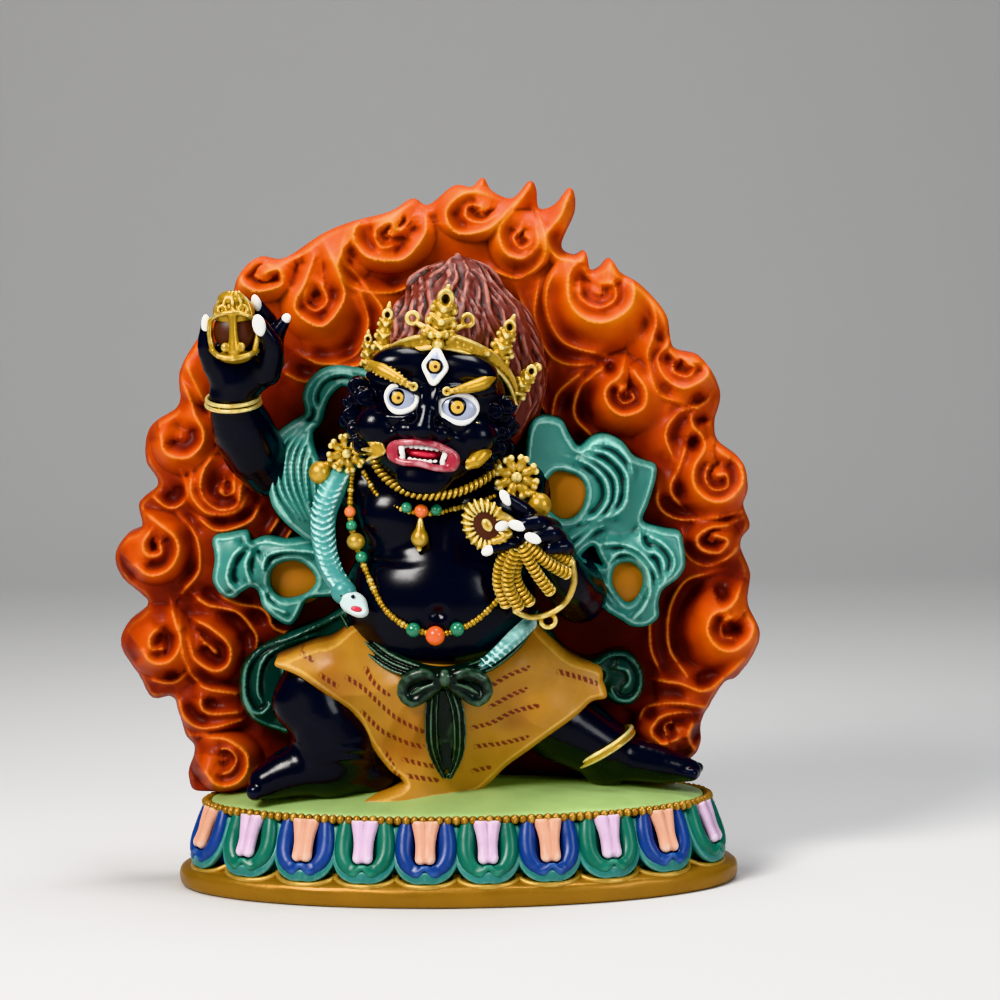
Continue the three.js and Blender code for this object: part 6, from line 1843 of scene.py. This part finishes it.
# %% A bent front
def bent_front(spots, x, z, stiffness=3.0):
    """The thin plate's y at places x and z. Each spot is (x, z, y), and stiffness smooths it."""
    spots = np.array(spots, float)

    def pull(dx, dz):
        square = dx ** 2 + dz ** 2
        return square * np.log(square + 1e-9)

    count = len(spots)
    flat = np.column_stack([np.ones(count), spots[:, :2]])
    kernel = pull(spots[:, None, 0] - spots[None, :, 0], spots[:, None, 1] - spots[None, :, 1])
    system = np.block([[kernel + stiffness * np.eye(count), flat], [flat.T, np.zeros((3, 3))]])
    weights = np.linalg.solve(system, np.concatenate([spots[:, 2], np.zeros(3)]))
    found = weights[count] + weights[count + 1] * x + weights[count + 2] * z
    for (spot_x, spot_z, _), weight in zip(spots, weights):
        found = found + weight * pull(x - spot_x, z - spot_z)
    return found


# %% The skirt's paint
DASH_LENGTH = 1.3
DASH_HALF_WIDTH = 0.52


def tiger_colour(tree, base):
    gap = add_node(tree, "ShaderNodeAttribute", attribute_name="row_gap").outputs["Fac"]
    way = add_node(tree, "ShaderNodeAttribute", attribute_name="row_way").outputs["Fac"]
    beat = maths(tree, "ABSOLUTE", maths(tree, "SUBTRACT", maths(tree, "FRACT", maths(tree, "DIVIDE", way, DASH_LENGTH)), 0.5))
    dash = maths(tree, "MULTIPLY", span(tree, beat, 0.36, 0.26), span(tree, gap, DASH_HALF_WIDTH + 0.15, DASH_HALF_WIDTH - 0.15))
    place = add_node(tree, "ShaderNodeTexCoord").outputs["Object"]
    clouds = add_node(tree, "ShaderNodeTexNoise", {"Vector": place, "Scale": 60.0, "Detail": 2.0})
    warmer = blended(tree, span(tree, clouds.outputs[0], 0.45, 0.7), base, colour(154, 94, 26))
    return blended(tree, maths(tree, "MULTIPLY", dash, 0.96), warmer, colour(104, 26, 10))


SKIRT = paint("skirt_yellow", colour(170, 120, 42), colour(78, 38, 8), colour(226, 184, 96), roughness=0.46,
              wash_and_shade_amount=1.0, edge_amount=0.5, unevenness=0.2, tinted=tiger_colour, bump=0.6)

# %% The skirt
HEM = [(-37.6, 49.5), (-32, 47.2), (-25.6, 42.2), (-20.9, 38.2), (-17.9, 31.8), (-14.2, 26.4), (-11.2, 23.9), (-11.8, 22.4),
       (-19.6, 19.8), (-11.8, 19.0), (-3.4, 19.8), (3.5, 20.4), (6.8, 22.4), (10.2, 25.9), (14.6, 29.4), (19.6, 33.2),
       (25.7, 37.3), (28.4, 39.5), (31.7, 40.2), (30.9, 43.4), (30.4, 46), (24.3, 48.6), (18.9, 53.6), (14, 58), (0, 61),
       (-18, 58), (-25.3, 53.8), (-29, 52.9), (-33.7, 51.3)]
LAP = [(-37.6, 49.5, -19), (-32, 47.2, -20.5), (-30, 52, -17), (-25.6, 42.2, -18), (-25, 50, -19.5), (-25.3, 53.8, -16.5),
       (-20.9, 38.2, -15.5), (-17.9, 31.8, -13.5), (-14.2, 26.4, -13), (-11.2, 23.9, -14), (-19.6, 19.8, -16.5),
       (-11.8, 19, -17), (-3.4, 19.8, -13), (3.5, 20.4, -10), (-12, 45, -20), (-3.4, 46, -20.5), (5, 46, -18.5),
       (-10, 36, -17.5), (0, 36, -17), (6, 36, -15.5), (-6, 28, -15), (2, 28, -13.5), (14, 50, -16.5), (14.6, 29.4, -12.4), (12, 27, -11),
       (19.6, 33.2, -13.4), (20, 38, -14.4), (15, 42, -14.8), (25.7, 37.3, -11.9), (28.4, 39.5, -9.6), (31.7, 40.2, -9),
       (30.4, 46, -7.5), (24.3, 48.6, -10), (18.9, 53.6, -11), (14, 58, -10), (0, 60, -13), (-16, 58, -12),
       (-10, 51.6, -17.4), (-3, 51.6, -17.4), (5, 51.6, -16.4)]
SKIRT_FOLDS = [
    (0.7, 2.8, [(-7.4, 45), (-11, 40), (-15, 33), (-17.4, 24)]), (0.6, 2.2, [(-5.8, 41), (-9, 33), (-10.6, 24)]),
    (0.6, 2.4, [(1, 42), (2.4, 34), (1.4, 25)]), (0.7, 2.8, [(5.6, 45.4), (11.4, 40), (17.6, 35)]),
    (0.7, 3.0, [(8.4, 49.4), (18.6, 46), (28, 42)]),
    (0.7, 2.8, [(-10, 46), (-17.6, 43.4), (-23.4, 42.8)]), (0.5, 2.0, [(4.6, 40), (8.4, 33), (9.2, 27.4)]),
    (0.4, 0.7, [(-36, 48.9), (-31.6, 46.9), (-25.4, 42), (-21, 38), (-18.3, 32), (-14.8, 26.8)]),
    (0.4, 0.7, [(10, 26.8), (14.2, 30.2), (19.2, 34), (25.4, 38.2), (30.6, 41)]),
    (0.4, 0.7, [(-18, 20.4), (-11.8, 19.8), (-3.4, 20.6), (3.4, 21.2), (7.2, 24)]),
]
DASH_ROWS = [
    [(-22.3, 46.8), (-18.5, 44), (-15.1, 40.5), (-11.5, 37.5), (-6.9, 35)], [(-19.3, 39), (-15.5, 35), (-10.9, 32.6), (-6.9, 31.5)],
    [(-18.3, 48.5), (-16.8, 45.7), (-13.8, 43)], [(-10.9, 28.6), (-7.1, 27.6), (-3.7, 26.9)], [(-10.2, 25.1), (-4.1, 24)],
    [(7.5, 44.5), (11.9, 46.8), (15.3, 47.9)], [(7.3, 39.9), (11.3, 42), (14.7, 43.2)], [(3.5, 35.4), (7.5, 36.3), (11.9, 38.5), (17, 39.6)],
    [(4.1, 31.1), (9.6, 31.6), (14.9, 32.8)], [(3.5, 25.6), (6.8, 26.1)], [(-31.6, 51.6), (-29.4, 50.4)],
    [(21.6, 46.4), (26.4, 44.6), (29.6, 43.2)], [(-27.6, 47.4), (-24.4, 45.0)], [(-14.8, 30.0), (-12.0, 24.6)],
]
skirt_plate = Plate(HEM, cell=0.28)
flank, sharp, groove = skirt_plate.crests(SKIRT_FOLDS)
skirt_relief = 0.9 * flank - 0.4 * groove - skirt_plate.edge_fall(1.4, 1.3)
skirt_front = bent_front(LAP, skirt_plate.gx, skirt_plate.gz) - skirt_relief
skirt_rear = np.interp(skirt_plate.gx, [-38, -25, -12, 20, 32], [-6, -2, 2, 3, 4.5])
skirt = skirt_plate.solid("skirt", skirt_front, skirt_rear, SKIRT, share=0.62, depth=0.12)
skirt_points = read_points(skirt.data) / MM
skirt_found = read_number(skirt.data, "relief")
skirt_found[skirt_points[:, 1] - skirt_plate.read(skirt_front, skirt_points) > 1.2] = -0.8
write_number(skirt.data, "relief", skirt_found)
row_gap = np.full(len(skirt_points), 9.0)
row_way = np.zeros(len(skirt_points))
for row in DASH_ROWS:
    line = smooth_line(row, 0.3)
    across = skirt_points[:, None, [0, 2]] - line[None]
    squares = (across ** 2).sum(-1)
    nearest = squares.argmin(1)
    gap = np.sqrt(squares.min(1))
    closer = gap < row_gap
    row_gap = np.where(closer, gap, row_gap)
    ahead = np.gradient(line, axis=0)[nearest]
    beside = across[np.arange(len(nearest)), nearest]
    side = np.sign(ahead[:, 0] * beside[:, 1] - ahead[:, 1] * beside[:, 0])
    row_way = np.where(closer, 0.3 * nearest + 0.6 * side * gap, row_way)
write_number(skirt.data, "row_gap", row_gap)
write_number(skirt.data, "row_way", row_way)
keep(skirt, "figure")

# %% Sash and bow
SASH = paint("sash_green", colour(6, 18, 14), colour(1, 4, 3), colour(116, 150, 124), roughness=0.3, edge_amount=0.4,
             wash_and_shade_amount=0.6, coat=0.15, specular=0.35)
sash = Clay((-26, -27, 22), (20, 2, 62), 0.32)
SASH_LINE = [(-22.4, -9.0, 58.4), (-18.6, -14.6, 53.6), (-12.4, -19.6, 49.6), (-3.4, -22.0, 47.6), (5.6, -20.6, 49.0), (12.4, -16.0, 53.2), (17.0, -9.6, 58.4)]
sash.add(strap(SASH_LINE, [1.6, 2.0, 2.1, 1.6, 1.9, 1.9, 1.5], 1.0, facing=(0, -1, 0), folds=3, fold_depth=0.45), 0)
BOW_X = -2.0
for side in (-1, 1):
    loop = [(1.0, -22.6, 47.0), (4.6, -22.9, 48.0), (7.8, -22.4, 46.6), (8.7, -21.9, 43.8), (6.8, -21.9, 41.9), (4.2, -22.0, 43.3), (1.2, -22.4, 45.8)]
    sash.add(rod([(BOW_X + side * x, y, z) for x, y, z in loop], 1.25), 0.4)
    sash.add(ball((BOW_X + 5.6 * side, -21.4, 44.8), (2.7, 1.0, 2.5)), 0.5)
    for lean in (-0.7, 0.6):
        sash.add(rod([(BOW_X + 2.0 * side, -23.4, 46.6 + lean), (BOW_X + 5.0 * side, -23.0, 45.8 + 1.6 * lean),
                      (BOW_X + 7.2 * side, -22.4, 44.4 + 1.6 * lean)], [0.3, 0.5, 0.3]), 0.4)
sash.add(ball((BOW_X, -23.2, 47.0), (1.7, 1.5, 1.9)), 0.3)
sash.add(strap([(-4.2, -22.0, 45.6), (-4.9, -20.2, 40), (-5.0, -17.8, 33), (-4.0, -15.8, 28.4), (-2.6, -14.8, 25.0)], [1.1, 1.3, 1.3, 1.1, 0.6], 0.8, folds=2, fold_depth=0.4), 0.4)
sash.add(strap([(-1.2, -22.0, 45.6), (0.6, -20.2, 40), (0.9, -18.0, 33), (0.2, -16.0, 28.6), (-1.4, -14.9, 24.8)], [1.1, 1.3, 1.3, 1.1, 0.6], 0.8, folds=2, fold_depth=0.4), 0.4)
sash.add(strap([(-2.6, -20.6, 44), (-2.2, -18.4, 38), (-2.0, -16.0, 32), (-2.0, -14.8, 27)], [1.2, 1.7, 1.7, 0.9], 0.7), 0.3)
keep(sash.mesh("sash", SASH, smooth=1, share=0.5, times=6, depth=0.08), "figure")

# %% [markdown]
# ## The scarf
# A silk scarf flies out behind the figure and curls into loops at both sides. It's carved like
# the flames, as plates with folds, so it uses the same plate class. The gaps inside the loops
# are closed by a thin ochre web, as castings of this kind have.


# %% One stretch of cloth
def cloth(name, outline, holes, strokes, swells, material, front=0.0, relief=1.0, rear=6.6):
    """A plate with folds. Its front may be one y, or two: at its left and its right end."""
    plate = Plate(outline, holes, cell=0.3)
    flank, sharp, groove = plate.crests(strokes)
    forward = plate.swells(swells) + relief * (1.8 * flank + 0.1 * sharp - 0.7 * groove)
    forward = forward + 0.35 * np.exp(-((plate.gap - 0.8) / 0.5) ** 2) - plate.edge_fall(1.1, 1.2)
    ends = np.array(front, float).ravel()
    level = np.interp(plate.gx, np.linspace(plate.x[0], plate.x[-1], len(ends)), ends)
    piece = plate.solid(name, level - forward, np.full(plate.gx.shape, rear), None, share=0.4)
    relief_found = read_number(piece.data, "relief")
    points = read_points(piece.data) / MM
    behind = points[:, 1] - plate.read(level - forward, points)
    relief_found[behind > 1.0] = -1
    write_number(piece.data, "relief", relief_found)
    piece.data.materials.append(material)
    return keep(piece, "figure")


# %% Scarf on the right
SCARF = paint("scarf_teal", colour(62, 130, 120), colour(5, 32, 28), colour(160, 212, 200), roughness=0.4,
              wash_and_shade_amount=1.0, edge_amount=0.75, bump=0.3)
# A darker copy of the scarf's teal: painted shade for the low scarves, which hang in shade.
SHADED_SCARF = paint("scarf_dark", colour(12, 46, 38), colour(3, 18, 14), colour(112, 168, 150), roughness=0.36,
                   wash_and_shade_amount=0.9, edge_amount=0.55, coat=0.2)
OCHRE = paint("web_ochre", colour(170, 104, 20), colour(70, 34, 6), colour(216, 166, 74), roughness=0.45)

cloth("scarf_right",
      [(17.0, 98.6), (22.6, 98.3), (24.7, 94.8), (26.6, 92.5), (29.5, 94.6), (32.5, 94.9), (35.7, 93.3), (38.1, 90.3), (41.0, 89.0),
       (42.8, 88.2), (42.7, 85.4), (41.2, 80.5), (39.9, 76.5), (43.9, 74.8), (47.6, 74.0), (48.4, 71.8), (48.8, 68.5), (48.6, 66.4),
       (47.0, 64.2), (44.3, 62.3), (43.5, 61.0), (43.0, 58.8), (43.1, 56.1), (40.8, 54.2), (37.5, 54.2), (35.1, 55.7), (31.9, 57.8),
       (28.2, 62.8), (24.4, 67.2), (21.3, 69.9), (17.1, 72.1), (15.1, 77.6), (15.2, 91.6)],
      [[(21.5, 87.6), (24.4, 87.2), (26.8, 85.8), (27.8, 83.2), (27.0, 79.8), (24.8, 77.6), (22.0, 77.8), (19.4, 80.8), (19.4, 85.1)],
       [(33.9, 66.8), (36.3, 67.9), (38.4, 67.0), (39.8, 64.3), (38.9, 61.0), (36.8, 59.2), (34.9, 60.6), (33.3, 63.6)],
       [(26.6, 69.6), (29.1, 71.8), (30.4, 69.3), (31.4, 67.1), (29.0, 68.3)]],
      [(1.3, 1.5, [(25.7, 90.2), (29.0, 88.8), (31.9, 85.5), (32.4, 81.7), (30.5, 78.5), (27.2, 76.9)]),
       (1.1, 1.3, [(26.6, 91.2), (30.6, 89.6), (34.0, 86.0), (34.3, 81.7), (32.6, 78.5), (29.4, 76.5)]),
       (1.3, 1.5, [(27.6, 92.3), (32.2, 91.2), (35.9, 87.6), (36.5, 83.8), (35.6, 80.1), (33.1, 77.7)]),
       (0.9, 1.3, [(28.5, 93.4), (33.3, 92.8), (36.6, 90.0), (37.8, 86.5)]),
       (1.1, 1.4, [(22.3, 69.9), (25.6, 72.1), (29.4, 75.3), (32.1, 76.2)]),
       (0.8, 1.2, [(22.3, 72.1), (25.6, 74.2), (28.8, 76.1)]),
       (1.4, 1.4, [(32.0, 66.6), (34.2, 69.8), (37.4, 69.8), (40.6, 66.5), (41.1, 62.1), (40.0, 58.9), (37.8, 56.2)]),
       (1.2, 1.4, [(29.9, 72.0), (34.7, 72.0), (39.0, 70.3), (42.5, 65.9), (43.0, 62.1)]),
       (1.1, 1.4, [(39.0, 75.1), (39.8, 71.3), (43.3, 69.1), (44.3, 65.3), (43.8, 62.6)]),
       (0.9, 1.4, [(40.1, 74.1), (43.9, 71.8), (46.0, 69.1), (46.0, 66.4), (44.3, 64.2)]),
       (0.7, 0.7, [(23.4, 68.8), (27.1, 65.5), (29.8, 61.7), (32.4, 58.4)]),
       (0.7, 0.7, [(24.5, 69.4), (28.2, 66.3), (31.4, 62.0), (33.8, 58.9)]),
       (0.7, 0.7, [(25.5, 69.9), (29.0, 67.1), (31.9, 63.3), (35.1, 59.5)])],
      [(34, 86, 9, 12, 1.4), (42, 68, 7, 8, 1.2), (29, 73, 6, 4, 1.0), (38, 56.4, 5, 4, 0.8)], SCARF,
      front=(-9.0, -5.6, -2.2, -0.6, -0.6))
cloth("scarf_right_low",
      [(12.9, 60.5), (17.9, 56.5), (22.1, 50.6), (25.3, 48.0), (29.1, 47.3), (32.3, 48.6), (35.6, 48.9), (38.3, 47.0), (39.8, 43.6), (39.3, 39.8),
       (37.1, 37.5), (33.9, 37.6), (31.7, 39.1), (30.1, 41.8), (31.0, 44.2), (27.5, 44.7), (24.2, 45.4), (21.0, 47.2), (15.8, 50.4)],
      [], [(1.0, 0.8, [(17.0, 55.6), (22.1, 49.6), (25.3, 47.2), (29.1, 46.6), (32.3, 47.9), (35.6, 48.1), (37.8, 46.5), (39.1, 43.6), (38.5, 40.3), (36.6, 38.6), (34.2, 39.0), (32.8, 41.0)]),
           (0.6, 0.9, [(33.4, 45.4), (36.0, 44.8), (36.6, 42.6), (35.4, 41.2)])],
      [(35, 43, 5.4, 6, 1.2), (26, 47, 8, 3, 0.8)], SHADED_SCARF, front=-0.4)

# %% Scarf on the left
cloth("scarf_left_middle",
      [(-50.9, 73.9), (-47.5, 74.9), (-43.6, 75.3), (-42.7, 73.3), (-39.7, 74.0), (-34.9, 73.4), (-30.3, 74.1), (-26.6, 75.1), (-25.2, 69.2),
       (-25.1, 65.3), (-25.1, 61.6), (-29.8, 60.9), (-31.3, 60.5), (-33.3, 56.6), (-35.0, 55.2), (-37.2, 56.1), (-40.5, 59.1), (-41.4, 62.1),
       (-42.8, 63.5), (-44.8, 62.6), (-46.8, 61.1), (-49.2, 61.7), (-51.1, 65.1), (-50.5, 69.5)],
      [[(-38.9, 65.4), (-37.4, 68.1), (-33.5, 68.8), (-30.7, 67.3), (-29.3, 64.4), (-31.7, 61.6), (-36.1, 60.8), (-38.5, 62.5)]],
      [(1.4, 1.5, [(-43.7, 72.9), (-46.4, 70.3), (-47.7, 66.0), (-46.3, 62.9)]), (1.1, 1.3, [(-42.6, 71.9), (-43.7, 68.4), (-43.1, 64.6)]),
       (0.9, 0.9, [(-40.4, 66.0), (-39.4, 69.8), (-35.9, 71.2), (-31.0, 71.0), (-27.6, 70.2)]), (0.9, 0.9, [(-40.4, 63.0), (-39.2, 60.2), (-35.6, 58.0)]),
       (0.6, 0.7, [(-43.1, 74.8), (-42.9, 72.8), (-40.8, 71.3), (-39.8, 69.4)])],
      [(-46, 68, 5.4, 7.6, 1.4), (-36, 58.6, 5, 3.6, 1.0), (-33, 72, 8, 3, 1.0), (-41.4, 67, 3, 4, 1.4)], SCARF, front=-0.6)
cloth("scarf_left_upper",
      [(-16.1, 108.2), (-22.4, 110.0), (-26.7, 109.6), (-30.1, 107.1), (-31.5, 103.7), (-31.1, 100.2), (-34.1, 98.1), (-36.8, 96.0), (-38.3, 92.6),
       (-38.6, 87.4), (-38.5, 83.9), (-37.5, 80.5), (-34.1, 76.5), (-28.3, 71.9), (-25.6, 74.0), (-26.4, 79.0), (-26.7, 85.0), (-27.7, 90.0), (-29.1, 93.3), (-29.2, 96.3),
       (-27.5, 98.0), (-26.4, 101.9), (-24.6, 104.6), (-22.4, 105.7), (-20.3, 103.9), (-16.2, 104.4)],
      [], [(0.8, 0.9, [(-18.6, 107.4), (-23.3, 108.3), (-27.1, 107.0), (-28.9, 103.6), (-28.5, 99.8), (-30.7, 96.8)]),
           (0.7, 0.6, [(-32.9, 96.8), (-35.5, 93.4), (-36.3, 88.2), (-35.5, 83.9), (-32.4, 78.7)]),
           (0.7, 0.6, [(-31.6, 96.8), (-34.2, 92.9), (-34.9, 88.2), (-34.1, 83.9), (-31.2, 78.3)]),
           (0.7, 0.6, [(-30.7, 96.3), (-32.9, 92.5), (-33.5, 88.2), (-32.7, 83.9), (-30.1, 78.0)]),
           (0.7, 0.6, [(-29.9, 95.9), (-31.5, 92.0), (-32.0, 88.2), (-31.3, 83.9), (-29.2, 77.7)]),
           (0.7, 0.6, [(-35.5, 96.0), (-37.0, 92.1), (-37.6, 87.4), (-36.9, 83.1), (-33.8, 77.8)]),
           (0.7, 0.6, [(-29.3, 93.3), (-30.2, 90.3), (-30.5, 86.4), (-29.8, 80.8), (-28.2, 77.2)]),
           (0.6, 0.6, [(-28.6, 90.0), (-28.8, 86.0), (-28.2, 81.0), (-27.2, 77.0)])],
      [(-32.5, 84, 12, 15, 7.4), (-29, 104, 5, 6, 0.8)], SCARF, front=-0.2, relief=0.9)
cloth("scarf_left_low",
      [(-20.5, 59.4), (-24.5, 58.2), (-28.4, 56.0), (-33.8, 54.1), (-39.2, 51.8), (-43.1, 49.3), (-45.4, 46.4), (-45.9, 42.0), (-45.5, 38.6), (-43.6, 35.3),
       (-41.5, 33.8), (-38.6, 32.6), (-35.1, 32.4), (-34.5, 40.9), (-35.8, 46.8), (-32.9, 49.7), (-29.0, 50.6), (-22.6, 52.0)],
      [], [(1.0, 0.9, [(-24.5, 57.4), (-33.8, 53.2), (-40.2, 50.8), (-43.6, 47.4), (-44.5, 42.0), (-43.3, 38.0), (-41.4, 36.8), (-39.4, 38.5)]),
           (0.8, 0.9, [(-28.5, 53.6), (-34.8, 51.7), (-39.2, 49.3), (-41.2, 46.4), (-41.8, 42.0), (-41.1, 39.0)])],
      [(-42, 42, 5, 9, 1.2), (-32, 53, 10, 4, 0.8)], SHADED_SCARF, front=-0.4)

# %% The webs in the loops
webs = Clay((-44, -9, 54), (44, 6.4, 94), 0.45)
webs.add(ball((-33.8, 4.6, 64.8), (7.0, 2.4, 6.0)), 0)
webs.add(ball((24.4, -1.4, 82.6), (7.4, 2.4, 7.4)), 0)
webs.add(ball((35.4, 1.4, 62.8), (5.6, 2.4, 6.0)), 0)
keep(webs.mesh("scarf_webs", OCHRE, smooth=1), "figure")

# %% [markdown]
# ## The floor
# The floor is one pale sheet that curves up behind.

# %% Floor


def pale_floor():
    """A sheet that lies flat and bends up behind in a large round."""
    profile = [(-900, 0), (500, 0)]
    for step in range(1, 13):
        angle = math.radians(7.5 * step)
        profile.append((500 + 300 * math.sin(angle), 300 * (1 - math.cos(angle))))
    profile.append((800, 1200))
    points = [(x, y, z) for y, z in profile for x in (-1400, 1400)]
    quads = [(2 * k, 2 * k + 1, 2 * k + 3, 2 * k + 2) for k in range(len(profile) - 1)]
    return new_piece("floor", points, quads, outward=False)


floor = pale_floor()
floor_paint = bpy.data.materials.new("pale_floor")
floor_paint.use_nodes = True
floor_paint.node_tree.nodes["Principled BSDF"].inputs["Base Color"].default_value = (0.64, 0.64, 0.64, 1)
floor_paint.node_tree.nodes["Principled BSDF"].inputs["Roughness"].default_value = 0.8
floor.data.materials.append(floor_paint)
